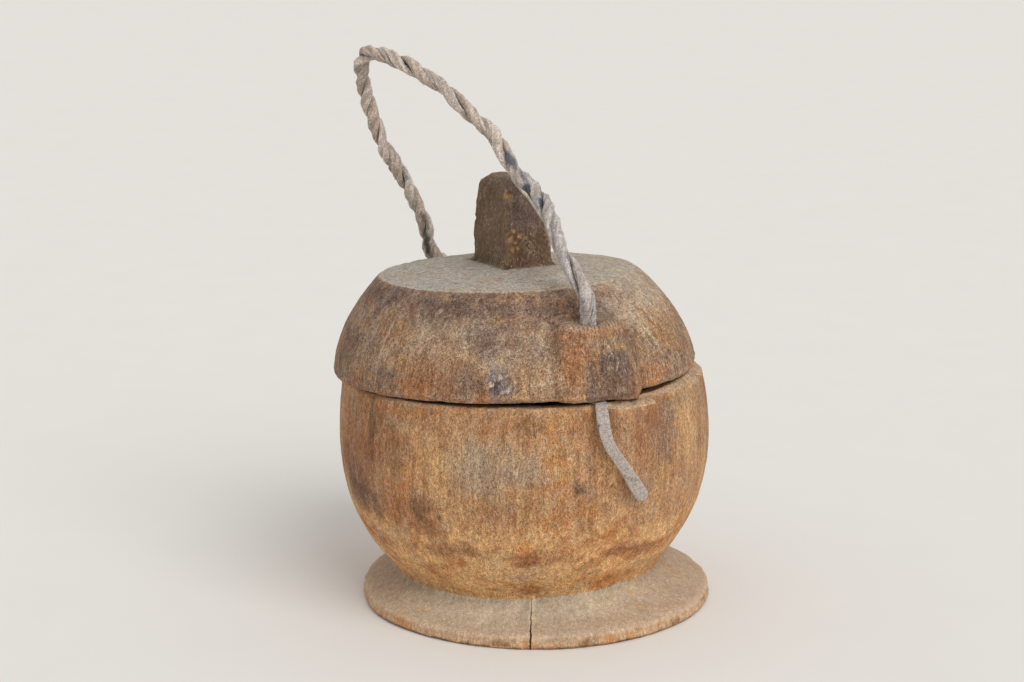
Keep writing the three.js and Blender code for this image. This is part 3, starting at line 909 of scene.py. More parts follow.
@dataclass
class CarvedBlock:
    """What the bowl and the lid have in common: one block of wood, carved, worn and painted."""

    node: str
    body: str
    slot: str
    voxel: float
    finish: WoodFinish
    seed: int
    marks: list[Stain | Scratch]
    unevenness: float = 0.00035
    nick_depth: float = 0.0009
    nick_width: float = 0.0019
    swell: float = 0.00020
    corner: float = 0.00055
    corner_width: float = 0.0012

    def build(self, solids: dict[str, bpy.types.Object]) -> bpy.types.Object:
        """Builds the block and puts it on its body.

        Args:
            solids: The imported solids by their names.

        Returns:
            The finished piece.
        """
        wood = CarvedMesh(solids[self.node], self.voxel)
        wood.relax(24, 0.5 * ease(0.5 * MM, 4.0 * MM, wood.to_edge))
        wood.relax(2, np.full(len(wood.places), 0.4))
        self.soften(wood)
        self.carve(wood)
        self.paint(wood)
        piece = wood.finished("carved_" + self.node, self.finish.build())
        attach(piece, self.body)
        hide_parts(self.node)
        LOG.info("%s: %d vertices", piece.name, len(wood.places))
        return piece

    def carve(self, wood: CarvedMesh) -> None:
        """Gives the surface its hand-cut unevenness and its worn edges.

        Args:
            wood: The block's mesh.
        """
        cuts = wood.noise(13 * MM, 34 * MM, self.seed)
        waves = wood.noise(42 * MM, 50 * MM, self.seed + 20)
        fine = wood.noise(3.2 * MM, 6 * MM, self.seed + 40, 2)
        nicks = ease(0.15, 0.8, wood.noise(7 * MM, 7 * MM, self.seed + 60))
        nicks *= np.exp(-((wood.to_edge / self.nick_width) ** 2)) * self.fragile(wood)
        heights = self.unevenness * (-0.8 * np.abs(cuts) + 0.9 * waves + 0.22 * fine)
        corners = self.corner * np.exp(-((wood.to_edge / self.corner_width) ** 2))
        wood.raise_by(self.swell + corners + heights - self.nick_depth * nicks)

    def soften(self, wood: CarvedMesh) -> None:
        """Rounds off the forms that hands and years have rounded.

        Args:
            wood: The block's mesh.
        """
        raise NotImplementedError

    def fragile(self, wood: CarvedMesh) -> np.ndarray:
        """How easily each vertex's edge is nicked, from 0 to 1."""
        raise NotImplementedError

    def paint(self, wood: CarvedMesh) -> None:
        """Paints what is coarser than the grain.

        Args:
            wood: The block's mesh.
        """
        raise NotImplementedError

    @staticmethod
    def patch(wood: CarvedMesh, size: float, seed: int, tones: dict[Tone, float]) -> None:
        """Scatters ragged patches of several tones, as handling and grease leave them.

        Args:
            wood: The block's mesh.
            size: How far apart the patches lie.
            seed: Chooses the patches.
            tones: The strength of each colour.
        """
        for number, (tone, strength) in enumerate(tones.items()):
            coarse = wood.noise(size, 0.8 * size, seed + 2 * number, 4)
            rough = wood.noise(2.6 * MM, 3.4 * MM, seed + 2 * number + 1, 2)
            wood.colour(tone, strength * ease(0.35, 0.75, coarse + 0.45 * rough))

    def paint_marks(self, wood: CarvedMesh) -> None:
        """Adds the stains and scratches, in their order.

        Args:
            wood: The block's mesh.
        """
        for number, mark in enumerate(self.marks):
            wood.colour(mark.tone, mark.cover(wood, self.seed + 100 + number))


@dataclass
class Bowl(CarvedBlock):
    """The bowl: belly, lugs and broad foot."""

    rasped: Stain = Stain(51.2, 0.0777, 0.012, 0.006, Tone.BROWN, 0.55)
    splits: tuple[Stain, ...] = (
        Stain(1.0, 0.084, 0.034, 0.034, Tone.BROWN, 1.0),
        Stain(-46.0, 0.108, 0.022, 0.012, Tone.BROWN, 0.6),
    )
    foot_top: float = 0.0185
    foot_shift: float = 0.0065
    foot_radius: float = 0.0945
    rim: float = 0.124
    wall_inside: float = 0.088
    golden_below: tuple[float, float] = (0.078, 0.05)

    def soften(self, wood: CarvedMesh) -> None:
        """Rounds the hollow between belly and foot, and the foot's upper edge.

        Args:
            wood: The block's mesh.
        """
        height = wood.places[:, 2]
        wood.relax(70, 0.5 * ease(10 * MM, 14 * MM, height) * ease(33 * MM, 26 * MM, height))
        out = np.hypot(wood.places[:, 0] - self.foot_shift, wood.places[:, 1])
        edge = ease(self.foot_radius - 5 * MM, self.foot_radius - 2 * MM, out) * ease(3 * MM, 5 * MM, height)
        wood.relax(14, 0.5 * edge * (height < 14 * MM))

    def fragile(self, wood: CarvedMesh) -> np.ndarray:
        """The foot's edge is worn smooth, and the rim is nicked."""
        return 0.25 + 0.55 * (wood.places[:, 2] > 30 * MM)

    def paint(self, wood: CarvedMesh) -> None:
        """Paints orange-brown sides, a beige foot, a pale rim and painted shade on the inside.

        Args:
            wood: The block's mesh.
        """
        places, normals, height = wood.places, wood.normals(), wood.places[:, 2]
        blotches = wood.noise(20 * MM, 24 * MM, 5)
        fine = wood.noise(5 * MM, 9 * MM, 7)
        smudge = wood.noise(15 * MM, 9 * MM, 10)
        self.paint_sides(wood, blotches, fine, smudge)
        self.paint_marks(wood)
        self.paint_foot(wood, blotches, fine, smudge)
        on_rim = ease(0.7, 0.9, normals[:, 2]) * ease(self.rim - 8 * MM, self.rim - 5 * MM, height)
        wood.colour(Tone.BONE, 0.75 * on_rim)
        # Painted shade: the inward-facing wall inside the bowl is darkened.
        inside = ease(0.2, -0.2, (normals[:, :2] * places[:, :2]).sum(1) / np.maximum(wood.reach, MM))
        inside *= (wood.reach < self.wall_inside + 4 * MM) * (height > self.foot_top)
        wood.colour(Tone.HOLLOW_SHADE, inside)
        # Paler worn edges, and painted shade in the bowl's hollows.
        wood.wear_edges_shade_hollows(0.10, 0.28)
        wood.ticks = self.rasped.cover(wood, 77)
        for number, split in enumerate(self.splits):
            wood.lines = wood.lines + split.cover(wood, 78 + number)

    def paint_sides(
        self, wood: CarvedMesh, blotches: np.ndarray, fine: np.ndarray, smudge: np.ndarray
    ) -> None:
        """Paints the belly, more golden and smudged towards its bottom, and lighter there with painted light.

        Args:
            wood: The block's mesh.
            blotches: Coarse noise at each vertex.
            fine: Fine noise at each vertex.
            smudge: Flat noise at each vertex.
        """
        height = wood.places[:, 2]
        streaks = wood.noise(9 * MM, 60 * MM, 3)
        wood.colour(Tone.HONEY, 1.0)
        wood.colour(Tone.ORANGE, 0.34 * ease(0.1, 1.0, blotches + 0.4 * fine))
        wood.colour(Tone.TAN, 0.45 * ease(0.1, 1.1, streaks))
        wood.colour(Tone.RUSSET, 0.30 * ease(0.2, 1.2, -streaks + 0.3 * fine))
        wood.colour(Tone.BROWN, 0.26 * ease(0.3, 1.2, -blotches))
        wood.colour(Tone.ASH, 0.35 * ease(0.3, 1.1, wood.noise(16 * MM, 30 * MM, 9)))
        low = ease(*self.golden_below, height)
        wood.colour(Tone.GOLD, 0.78 * low)
        wood.colour(Tone.ORANGE, 0.66 * low * ease(0.0, 0.8, smudge + 0.3 * fine))
        wood.colour(Tone.BROWN, 0.44 * low * ease(0.45, 0.95, smudge - 0.35 * fine))
        wood.colour(Tone.BROWN, 0.20 * ease(0.100, 0.116, height))
        patches = {Tone.RUSSET: 0.40, Tone.GOLD: 0.42, Tone.ORANGE: 0.46, Tone.ASH: 0.30}
        self.patch(wood, 15 * MM, 400, patches)
        # Painted light: the lower belly is lightened, as brighter low light would show it.
        wood.shade(1.0 + 0.10 * low)

    def paint_foot(
        self, wood: CarvedMesh, blotches: np.ndarray, fine: np.ndarray, smudge: np.ndarray
    ) -> None:
        """Paints the foot beige above, paler in front with painted light where the belly shades it, stained
        along its edge, and with a painted shadow where it meets the floor.

        Args:
            wood: The block's mesh.
            blotches: Coarse noise at each vertex.
            fine: Fine noise at each vertex.
            smudge: Flat noise at each vertex.
        """
        height, facing = wood.places[:, 2], wood.normals()[:, 2]
        on_foot = ease(self.foot_top + 10 * MM, self.foot_top + 3.5 * MM, height + 1.5 * MM * fine)
        level = on_foot * ease(-0.2, 0.25, facing + 0.15 * fine)
        wood.colour(Tone.FOOT, level)
        # Painted light: the foot's front, shaded by the belly above it, is made paler.
        painted_light_front = ease(0.093, 0.079, wood.reach) * ease(70.0, 40.0, np.abs(wood.turn))
        wood.colour(Tone.CREAM, 0.55 * level * painted_light_front)
        wood.colour(Tone.ASH, 0.30 * level * ease(0.1, 1.0, blotches))
        wood.colour(Tone.OCHRE, 0.30 * level * ease(0.5, 1.2, smudge + 0.5 * fine))
        wood.calm = 0.40 * level
        edge = on_foot * ease(0.5, 0.2, np.abs(facing)) * (height < 12 * MM)
        wood.colour(Tone.FOOT, edge)
        wood.colour(Tone.TAN, 0.5 * edge)
        wood.colour(Tone.ORANGE, 0.55 * edge * ease(0.2, 0.8, smudge + 0.3 * fine))
        wood.colour(Tone.BROWN, 0.7 * edge * ease(0.3, 0.9, -smudge + 0.5 * fine))
        # Painted shadow: a dark line where the foot meets the floor.
        wood.colour(Tone.DARK, 0.6 * (height < 9 * MM) * ease(1.8 * MM, 0.4 * MM, height + 0.8 * MM * fine))


@dataclass
class Lid(CarvedBlock):
    """The lid: dome, worn flat top, knob, and lugs with their ledges."""

    chips: list[Chip] = field(default_factory=list)
    chip_depth: float = 0.00045
    top: float = 0.1755
    knob_middle: tuple[float, float] = (-0.0063, 0.0110)
    knob_half: tuple[float, float] = (0.0240, 0.0142)
    knob_turn: float = 24.0
    knob_front: float = 0.006
    arris: tuple[float, float, float] = (-0.0100, 0.16, 0.2200)
    ledge_turn: float = 25.0
    ledge_height: float = 0.1680
    band_height: float = 0.1725
    band_half: float = 0.006
    hollow_reach: float = 0.079

    def soften(self, wood: CarvedMesh) -> None:
        """Rounds the top's edge, the knob's upright edges and the sides of the lugs.

        Args:
            wood: The block's mesh.
        """
        height = wood.places[:, 2]
        knob = self.knob_cover(wood)
        wood.relax(10, 0.5 * knob * ease(0.178, 0.184, height))
        top = ease(0.164, 0.169, height) * (1.0 - knob) * ease(0.052, 0.058, wood.reach)
        softer = 0.16 + 0.34 * ease(-50.0, -15.0, wood.turn) + 0.50 * ease(20.0, 50.0, wood.turn)
        wood.relax(120, 0.5 * softer * top)
        for half_turn in (0.0, 180.0):
            away = np.abs(apart(wood.turn - self.ledge_turn, half_turn))
            sides = ease(19.0, 15.0, away) * ease(8.0, 10.0, away) * ease(0.131, 0.135, height)
            wood.relax(26, 0.5 * sides * ease(self.ledge_height, self.ledge_height - 5 * MM, height))

    def fragile(self, wood: CarvedMesh) -> np.ndarray:
        """The knob is nicked most."""
        return 0.45 + 0.55 * self.knob_cover(wood)

    def knob_cover(self, wood: CarvedMesh) -> np.ndarray:
        """The share of each vertex that belongs to the knob.

        Args:
            wood: The block's mesh.

        Returns:
            A value from 0 to 1 for each vertex.
        """
        along, across = turned_places(wood.places[:, :2] - self.knob_middle, self.knob_turn)
        beyond = np.maximum(np.abs(along) - self.knob_half[0], np.abs(across) - self.knob_half[1])
        return ease(1.6 * MM, 0.6 * MM, beyond) * (wood.places[:, 2] > self.top)

    def paint(self, wood: CarvedMesh) -> None:
        """Paints dark brown sides, a grey top, a nearly black knob, the lugs' streaks and painted shade in
        the hollow underside.

        Args:
            wood: The block's mesh.
        """
        normals, height = wood.normals(), wood.places[:, 2]
        blotches = wood.noise(17 * MM, 17 * MM, 15)
        fine = wood.noise(4 * MM, 7 * MM, 17)
        self.paint_sides(wood, blotches, fine)
        self.paint_marks(wood)
        self.paint_top(wood, fine)
        on_ledge = ease(0.7, 0.9, normals[:, 2]) * (height > 0.15)
        on_ledge *= ease(self.ledge_height + 4 * MM, self.ledge_height + 2 * MM, height)
        wood.colour(Tone.UMBER, 0.7 * on_ledge)
        self.paint_knob(wood, fine, blotches)
        # Painted shade: the downward faces of the hollow underside are darkened.
        inside = (wood.reach < self.hollow_reach) * (height < self.ledge_height)
        wood.colour(Tone.HOLLOW_SHADE, inside * ease(0.1, -0.3, normals[:, 2]))
        # Paler worn edges, and painted shade in the lid's hollows.
        wood.wear_edges_shade_hollows(0.14, 0.26)
        self.chip(wood)
        self.rasp(wood)

    def paint_sides(self, wood: CarvedMesh, blotches: np.ndarray, fine: np.ndarray) -> None:
        """Paints the dome, with a dark band under its shoulder, except on the right.

        Args:
            wood: The block's mesh.
            blotches: Coarse noise at each vertex.
            fine: Fine noise at each vertex.
        """
        height = wood.places[:, 2]
        streaks = wood.noise(8 * MM, 55 * MM, 13)
        wood.colour(Tone.LID, 1.0)
        wood.colour(Tone.PLUM, 0.42 * ease(0.1, 0.8, blotches + 0.45 * fine))
        wood.colour(Tone.RUSSET, 0.26 * ease(0.0, 0.8, -blotches + 0.35 * streaks))
        wood.colour(Tone.OCHRE, 0.30 * ease(0.2, 1.1, wood.noise(12 * MM, 12 * MM, 19)))
        wood.colour(Tone.ASH, 0.34 * ease(0.1, 1.0, streaks + 0.25 * fine))
        wood.colour(Tone.DARK, 0.24 * ease(0.3, 1.2, -streaks))
        right = ease(35.0, 60.0, wood.turn) * ease(140.0, 115.0, wood.turn)
        above = height - self.band_height - 4 * MM * streaks
        band = np.exp(-((above / self.band_half) ** 2)) * (1.0 - right)
        wood.colour(Tone.PLUM, 0.68 * band)
        wood.colour(Tone.DARK, 0.34 * band * ease(-0.2, 0.7, blotches))
        wood.colour(Tone.RUSSET, 0.40 * ease(0.141, 0.130, height) * ease(-0.5, 0.5, streaks))
        patches = {Tone.PLUM: 0.42, Tone.OCHRE: 0.34, Tone.RUSSET: 0.40, Tone.ASH: 0.36}
        self.patch(wood, 10 * MM, 420, patches)

    def paint_top(self, wood: CarvedMesh, fine: np.ndarray) -> None:
        """Paints the worn grey top, which fades into the dome on the right, with a painted highlight towards
        the right.

        Args:
            wood: The block's mesh.
            fine: Fine noise at each vertex.
        """
        places, upwards = wood.places, wood.normals()[:, 2]
        wide = ease(10.0, 55.0, wood.turn) * ease(150.0, 125.0, wood.turn)
        reach_up = 0.82 - 0.34 * wide
        facing = upwards + 0.05 * fine + (0.03 + 0.09 * wide) * wood.noise(6 * MM, 6 * MM, 31)
        level = ease(0.0, 1.0, (facing - reach_up) / (0.985 - reach_up)) * ease(0.158, 0.172, places[:, 2])
        wood.colour(Tone.LID_TOP, level * (1.0 - 0.25 * wide * ease(0.99, 0.93, upwards)))
        wood.colour(Tone.OCHRE, 0.22 * level * ease(0.2, 1.0, noise(places, (16 * MM, 7 * MM, 9 * MM), 33)))
        wood.calm = 0.15 * level + 0.28 * self.knob_cover(wood)
        # Painted highlight: the top is paler towards the right, where the light falls.
        wood.colour(Tone.BONE, 0.24 * ease(-0.02, 0.06, places[:, 0]) * level)

    def paint_knob(self, wood: CarvedMesh, fine: np.ndarray, blotches: np.ndarray) -> None:
        """Paints the knob: olive brown, with purple grey high on its front and worn spots at its base.

        Args:
            wood: The block's mesh.
            fine: Fine noise at each vertex.
            blotches: Coarse noise at each vertex.
        """
        knob = self.knob_cover(wood)
        right, back, height = wood.places.T
        arris = self.arris[0] + self.arris[1] * (self.arris[2] - height)
        front = knob * ease(-2 * MM, 2 * MM, right - arris + 1 * MM * fine) * (back < self.knob_front)
        wood.colour(Tone.KNOB, knob)
        wood.colour(Tone.DARK, 0.35 * knob * ease(0.1, 1.0, blotches + 0.3 * fine))
        wood.colour(Tone.PLUM, 0.75 * front * ease(0.197, 0.206, height + 2 * MM * fine))
        wood.colour(Tone.DARK, 0.45 * front * ease(0.203, 0.196, height))
        wood.colour(Tone.ORANGE, 0.40 * knob * ease(0.55, 1.0, fine) * ease(0.190, 0.180, height))
        wood.colour(Tone.ASH, 0.20 * knob * ease(0.221, 0.226, height))

    def chip(self, wood: CarvedMesh) -> None:
        """Knocks the small pale chips out of the knob's front corner.

        Args:
            wood: The block's mesh.
        """
        for number, chip in enumerate(self.chips):
            cover = chip.strength * chip.cover(wood, 300 + number)
            wood.raise_by(-self.chip_depth * cover)
            wood.colour(Tone.OCHRE, cover)

    def rasp(self, wood: CarvedMesh) -> None:
        """Leaves rasp ticks along the front edge of the front lug's ledge.

        Args:
            wood: The block's mesh.
        """
        along, across = turned_places(wood.places[:, :2], self.ledge_turn)
        front = ease(0.0870, 0.0885, along) * ease(0.0190, 0.0165, np.abs(across))
        lift = wood.places[:, 2] - self.ledge_height
        wood.ticks = 0.8 * front * ease(-4.5 * MM, -2 * MM, lift) * ease(2.5 * MM, 1.0 * MM, lift)


def ring(sides: int, power: float = 1.0) -> tuple[np.ndarray, np.ndarray]:
    """The points of a round section, or of a squarer one with a lower power.

    Args:
        sides: How many points it has.
        power: How round it is.

    Returns:
        How far each point lies along the section's first and second direction, from -1 to 1.
    """
    turn = np.linspace(0.0, 2 * math.pi, sides, endpoint=False)
    first, second = np.cos(turn), np.sin(turn)
    return np.sign(first) * np.abs(first) ** power, np.sign(second) * np.abs(second) ** power


def swept(
    line: np.ndarray, side: np.ndarray, other: np.ndarray, across: np.ndarray, out: np.ndarray
) -> np.ndarray:
    """Rings of points round a line.

    Args:
        line: The line's points, N by 3.
        side: The first direction across it at each point.
        other: The second direction across it at each point.
        across: How far each ring's points lie along the first direction, N by S.
        out: How far they lie along the second one.

    Returns:
        The rings, N by S by 3.
    """
    return line[:, None] + side[:, None] * across[..., None] + other[:, None] * out[..., None]


def distances(line: np.ndarray) -> np.ndarray:
    """How far along a line each of its points lies."""
    return np.concatenate([[0.0], np.cumsum(np.linalg.norm(np.diff(line, axis=0), axis=1))])


def smooth_route(points: np.ndarray, step: float) -> np.ndarray:
    """Points at even steps along a smooth curve through some points.

    Args:
        points: The route, N by 3.
        step: Distance between the new points.

    Returns:
        The new points, from the route's start to its end.
    """
    padded = np.vstack([2 * points[0] - points[1], points, 2 * points[-1] - points[-2]])
    fine = []
    for p0, p1, p2, p3 in zip(padded, padded[1:], padded[2:], padded[3:]):
        roots = [math.sqrt(np.linalg.norm(b - a)) for a, b in ((p0, p1), (p1, p2), (p2, p3))]
        times = np.cumsum([0.0, *roots])
        for t in np.linspace(times[1], times[2], 24, endpoint=False):
            a1 = p0 + (p1 - p0) * (t - times[0]) / (times[1] - times[0])
            a2 = p1 + (p2 - p1) * (t - times[1]) / (times[2] - times[1])
            a3 = p2 + (p3 - p2) * (t - times[2]) / (times[3] - times[2])
            b1 = a1 + (a2 - a1) * (t - times[0]) / (times[2] - times[0])
            b2 = a2 + (a3 - a2) * (t - times[1]) / (times[3] - times[1])
            fine.append(b1 + (b2 - b1) * (t - times[1]) / (times[2] - times[1]))
    fine.append(points[-1])
    line = np.array(fine)
    along = distances(line)
    count = max(2, int(round(along[-1] / step)) + 1)
    even = np.linspace(0.0, along[-1], count)
    return np.stack([np.interp(even, along, line[:, axis]) for axis in range(3)], 1)


def carried_frames(line: np.ndarray, start: np.ndarray) -> tuple[np.ndarray, np.ndarray]:
    """Two directions across a line that don't twist along it.

    Args:
        line: Points of the line.
        start: The first direction wanted at its start.

    Returns:
        The first and the second direction at each point.
    """
    along = np.gradient(line, axis=0)
    along /= np.linalg.norm(along, axis=1)[:, None]
    first = np.zeros_like(line)
    side = start
    for index, direction in enumerate(along):
        side = side - direction * (side @ direction)
        side = side / np.linalg.norm(side)
        first[index] = side
    return first, np.cross(along, first)


class Course:
    """The cord's centreline, with what holds at each of its points."""

    def __init__(self, line: np.ndarray, first: int, last: int) -> None:
        """Measures the line.

        Args:
            line: Its points, N by 3.
            first: Index where the free handle starts.
            last: Index where it ends.
        """
        self.line, self.first, self.last = line, first, last
        self.side, self.other = carried_frames(line, np.array([1.0, 0.0, 0.0]))
        self.along = distances(line)
        self.share = np.clip((np.arange(len(line)) - first) / (last - first), 0.0, 1.0)

    def index(self, share: float) -> int:
        """The point at a share of the free handle's length."""
        return int(round(self.first + share * (self.last - self.first)))


@dataclass(frozen=True)
class ClothStain:
    """A dark patch on the side of the cord that faces the front."""

    share: float
    right: float
    up: float
    half_length: float
    half_width: float
    tone: Tone
    strength: float
    forward: float = 0.0035

    def cover(self, points: np.ndarray, course: Course) -> np.ndarray:
        """How much of each point it covers.

        Args:
            points: Rings of points along the cord.
            course: The cord's line.

        Returns:
            A share from 0 to the stain's strength for each point.
        """
        at = course.index(self.share)
        along = course.line[at + 1] - course.line[at - 1]
        along /= np.linalg.norm(along)
        off = points - (course.line[at] + (self.right, -self.forward, self.up))
        lengthwise = off @ along
        across = np.linalg.norm(off - lengthwise[..., None] * along, axis=2)
        rough = noise(points, (2.2 * MM, 2.2 * MM, 2.2 * MM), 90, 2)
        size = np.hypot(lengthwise / self.half_length, across / self.half_width) + 0.22 * rough
        return self.strength * ease(1.25, 0.75, size)


@dataclass(frozen=True)
class Strand:
    """One strip of cloth in a twisted cord: where it winds and its flattened section."""

    phase: float
    offset: float
    half_depth: float
    half_width: float
    tone: Tone
    seed: int
    sides: int = 24
    surfaces: bool = False


@dataclass
class TubeMesh:
    """Closed tubes gathered into one mesh, with a painted tint."""

    rings: list[np.ndarray] = field(default_factory=list)
    tints: list[np.ndarray] = field(default_factory=list)

    def add(self, rings: np.ndarray, tints: np.ndarray) -> None:
        """Adds a tube of rings of points, R by S by 3, with the colours of these points."""
        self.rings.append(rings)
        self.tints.append(tints)

    def finished(self, name: str, material: bpy.types.Material) -> bpy.types.Object:
        """Makes the object.

        Args:
            name: The piece's name.
            material: Its finish.

        Returns:
            The object, in the scene.
        """
        faces, base = [], 0
        for rings in self.rings:
            count, sides = rings.shape[:2]
            for k in range(count - 1):
                for i in range(sides):
                    a, b = base + k * sides + i, base + k * sides + (i + 1) % sides
                    faces.append((a, b, b + sides, a + sides))
            faces.append(tuple(base + i for i in reversed(range(sides))))
            base += count * sides
            faces.append(tuple(base - sides + i for i in range(sides)))
        mesh = bpy.data.meshes.new(name)
        mesh.from_pydata(np.vstack([rings.reshape(-1, 3) for rings in self.rings]).tolist(), [], faces)
        mesh.shade_smooth()
        mesh.polygons.foreach_set("use_smooth", [len(face) == 4 for face in faces])
        return painted_piece(name, mesh, np.vstack([tints.reshape(-1, 3) for tints in self.tints]), material)


@dataclass
class TwistedCord:
    """The cord through both lid lugs: the free handle and the stretches in the lugs' holes."""

    seat: LidSeat
    finish: ClothFinish
    stains: list[ClothStain]
    diameter: float = 0.007
    strands: tuple[Strand, ...] = (
        Strand(0.0, 2.05 * MM, 2.05 * MM, 3.00 * MM, Tone.CLOTH, 1),
        Strand(math.pi, 2.05 * MM, 1.95 * MM, 2.90 * MM, Tone.CLOTH_PALE, 2),
        Strand(math.pi / 2, 1.90 * MM, 1.00 * MM, 1.25 * MM, Tone.CLOTH_GREY, 3, 14, True),
    )
    pitch_shares: tuple[float, ...] = (0.0, 0.08, 0.2, 0.35, 0.5, 0.62, 0.75, 1.0)
    pitches: tuple[float, ...] = (0.062, 0.054, 0.044, 0.042, 0.037, 0.028, 0.027, 0.033)
    step: float = 0.0009
    hole_foot: float = 0.0036
    pivot_height: float = 0.041
    bend_length: float = 0.007
    surfacing: float = 0.0015
    surfaced: tuple[tuple[float, float], ...] = ((0.03, 0.07), (0.34, 0.03), (0.55, 0.03), (0.82, 0.03))
    wool_depth: float = 0.0002
    groove: tuple[float, float] = (0.0018, 0.0036)
    groove_shade: float = 0.80
    loose_span: tuple[float, float] = (0.150, 0.290)
    loose_side: tuple[float, float, float] = (-0.85, -0.07, -0.53)
    loose_reach: tuple[float, float] = (0.0015, 0.0047)
    loose_half: tuple[float, float] = (0.00095, 0.00135)
    fibres: int = 1000
    fibre_reach: tuple[float, float] = (0.6, 1.5)
    fibre_limit: float = 0.0057
    fibre_radius: float = 0.000085
    stray_fibres: tuple[tuple[float, tuple[float, float, float]], ...] = (
        (0.462, (-0.5, -0.4, -0.7)),
        (0.779, (-0.8, -0.4, -0.3)),
    )
    stray_reach: float = 0.0022
    stray_radius: float = 0.00016

    def build(self) -> list[bpy.types.Object]:
        """Builds the handle and the two stretches in the lugs.

        Returns:
            The finished pieces.
        """
        heights = (self.hole_foot, self.pivot_height)
        front_foot, front = (self.seat.hole(height) for height in heights)
        back_foot, back = (self.seat.hole(height, 180.0) for height in heights)
        free = smooth_route(np.vstack([front, np.array(HANDLE_ROUTE) + ORIGIN_SHIFT, back]), self.step)
        rise = smooth_route(np.vstack([front_foot, (front_foot + front) / 2, front]), self.step)
        drop = smooth_route(np.vstack([back, (back + back_foot) / 2, back_foot]), self.step)
        line = np.vstack([rise[:-1], free, drop[1:]])
        cuts = [0, len(rise) - 1, len(rise) + len(free) - 2, len(line) - 1]
        course = Course(line, cuts[1], cuts[2])
        tubes = self.wound(course)
        material = self.finish.build()
        made = []
        for name, first, last in zip(("cord_front_end", "handle", "cord_back_end"), cuts, cuts[1:]):
            mesh = TubeMesh()
            for rings, tints in tubes:
                mesh.add(rings[first : last + 1], tints[first : last + 1])
            if name == "handle":
                mesh.add(*self.loose_strip(course))
                self.add_fibres(mesh, course, tubes)
            made.append(mesh.finished(name, material))
        front_end, handle, back_end = made
        for piece, node, foot, pivot in (
            (front_end, "cord_in_front_lug", front_foot, front),
            (back_end, "cord_in_back_lug", back_foot, back),
        ):
            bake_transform(piece)
            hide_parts(node)
        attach(handle, "handle")
        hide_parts("handle_cord")
        return made

    def wound(self, course: Course) -> list[tuple[np.ndarray, np.ndarray]]:
        """Winds the strands round the cord's line.

        Args:
            course: The cord's line.

        Returns:
            Rings and colours of each strand.
        """
        along = course.along
        pitch = np.interp(course.share, self.pitch_shares, self.pitches)
        turns = np.concatenate([[0.0], np.cumsum(np.diff(along) / pitch[1:])])
        turns = turns + 0.07 * np.sin(along / 0.021) + 0.04 * np.sin(along / 0.009)
        return [self.laid(strand, course, 2 * math.pi * turns + strand.phase) for strand in self.strands]

    def laid(self, strand: Strand, course: Course, angle: np.ndarray) -> tuple[np.ndarray, np.ndarray]:
        """Shapes and colours one strand, with painted shade in the grooves and creases and painted light on
        the raised folds.

        Args:
            strand: The strand.
            course: The cord's line.
            angle: The strand's direction from the line at each of the line's points.

        Returns:
            Its rings of points and their colours.
        """
        cos, sin = np.cos(angle)[:, None], np.sin(angle)[:, None]
        radial = cos * course.side + sin * course.other
        tangent = -sin * course.side + cos * course.other
        wobble = np.stack([course.along, np.full(len(angle), strand.seed * 9.1), course.along * 0], 1)
        swell = 1.0 + 0.12 * noise(wobble, (9 * MM, 1.0, 1.0), strand.seed)[:, None]
        offset = strand.offset * (1.0 + 0.12 * noise(wobble, (14 * MM, 1.0, 1.0), strand.seed + 5))
        if strand.surfaces:
            offset = offset + self.surfacing * self.shown(course.share)
        depth, width = ring(strand.sides, 0.8)
        depth, width = swell * (strand.half_depth * depth), swell * (strand.half_width * width)
        rings = swept(course.line, radial, tangent, offset[:, None] + depth, width)
        folds = self.folds(strand, course.along)
        outward = rings - (course.line + radial * offset[:, None])[:, None]
        rings = rings + outward * (0.09 * folds)[..., None]
        wool = noise(rings, (1.7 * MM, 1.7 * MM, 1.7 * MM), strand.seed + 70, 2)[..., None]
        rings = rings + outward / np.linalg.norm(outward, axis=2)[..., None] * self.wool_depth * wool
        tints = self.strand_tints(strand, rings, course.share)
        for stain in self.stains:
            tints = tints + (stain.tone.rgb - tints) * stain.cover(rings, course)[..., None]
        # Painted shade: darker towards the cord's axis, in the grooves between strands.
        off = np.linalg.norm(rings - course.line[:, None], axis=2)[..., None]
        tints = tints * (self.groove_shade + (1.0 - self.groove_shade) * ease(*self.groove, off))
        # Painted light and shade: raised folds and wool are lighter, creases darker.
        return rings, tints * (1.0 + 0.13 * np.clip(folds, -1.2, 0.8)[..., None] + 0.08 * wool)

    def loose_strip(self, course: Course) -> tuple[np.ndarray, np.ndarray]:
        """The thin strip that has come loose and passes the knob beside the cord.

        Args:
            course: The cord's line.

        Returns:
            Its rings and their colours.
        """
        low, high = (course.index(share) for share in self.loose_span)
        part = course.line[low : high + 1]
        side, other = carried_frames(part, np.array(self.loose_side))
        share = np.linspace(0.0, 1.0, len(part))
        nearest, furthest = self.loose_reach
        away = nearest + (furthest - nearest) * np.sin(math.pi * share) ** 0.7
        wobble = np.stack([share * 0.05, share * 0, share * 0], 1)
        size = 1.0 + 0.15 * noise(wobble, (6 * MM, 1.0, 1.0), 61)[:, None]
        across, out = (size * half * turn for half, turn in zip(self.loose_half, ring(12)))
        rings = swept(part + side * away[:, None], side, other, across, out)
        rough = noise(rings, (1.5 * MM, 1.5 * MM, 4 * MM), 62, 2)[..., None]
        tint = np.tile(Tone.CLOTH_PALE.rgb, rings.shape[:2] + (1,))
        return rings, tint * (0.94 + 0.16 * np.clip(rough, -1.0, 1.0))

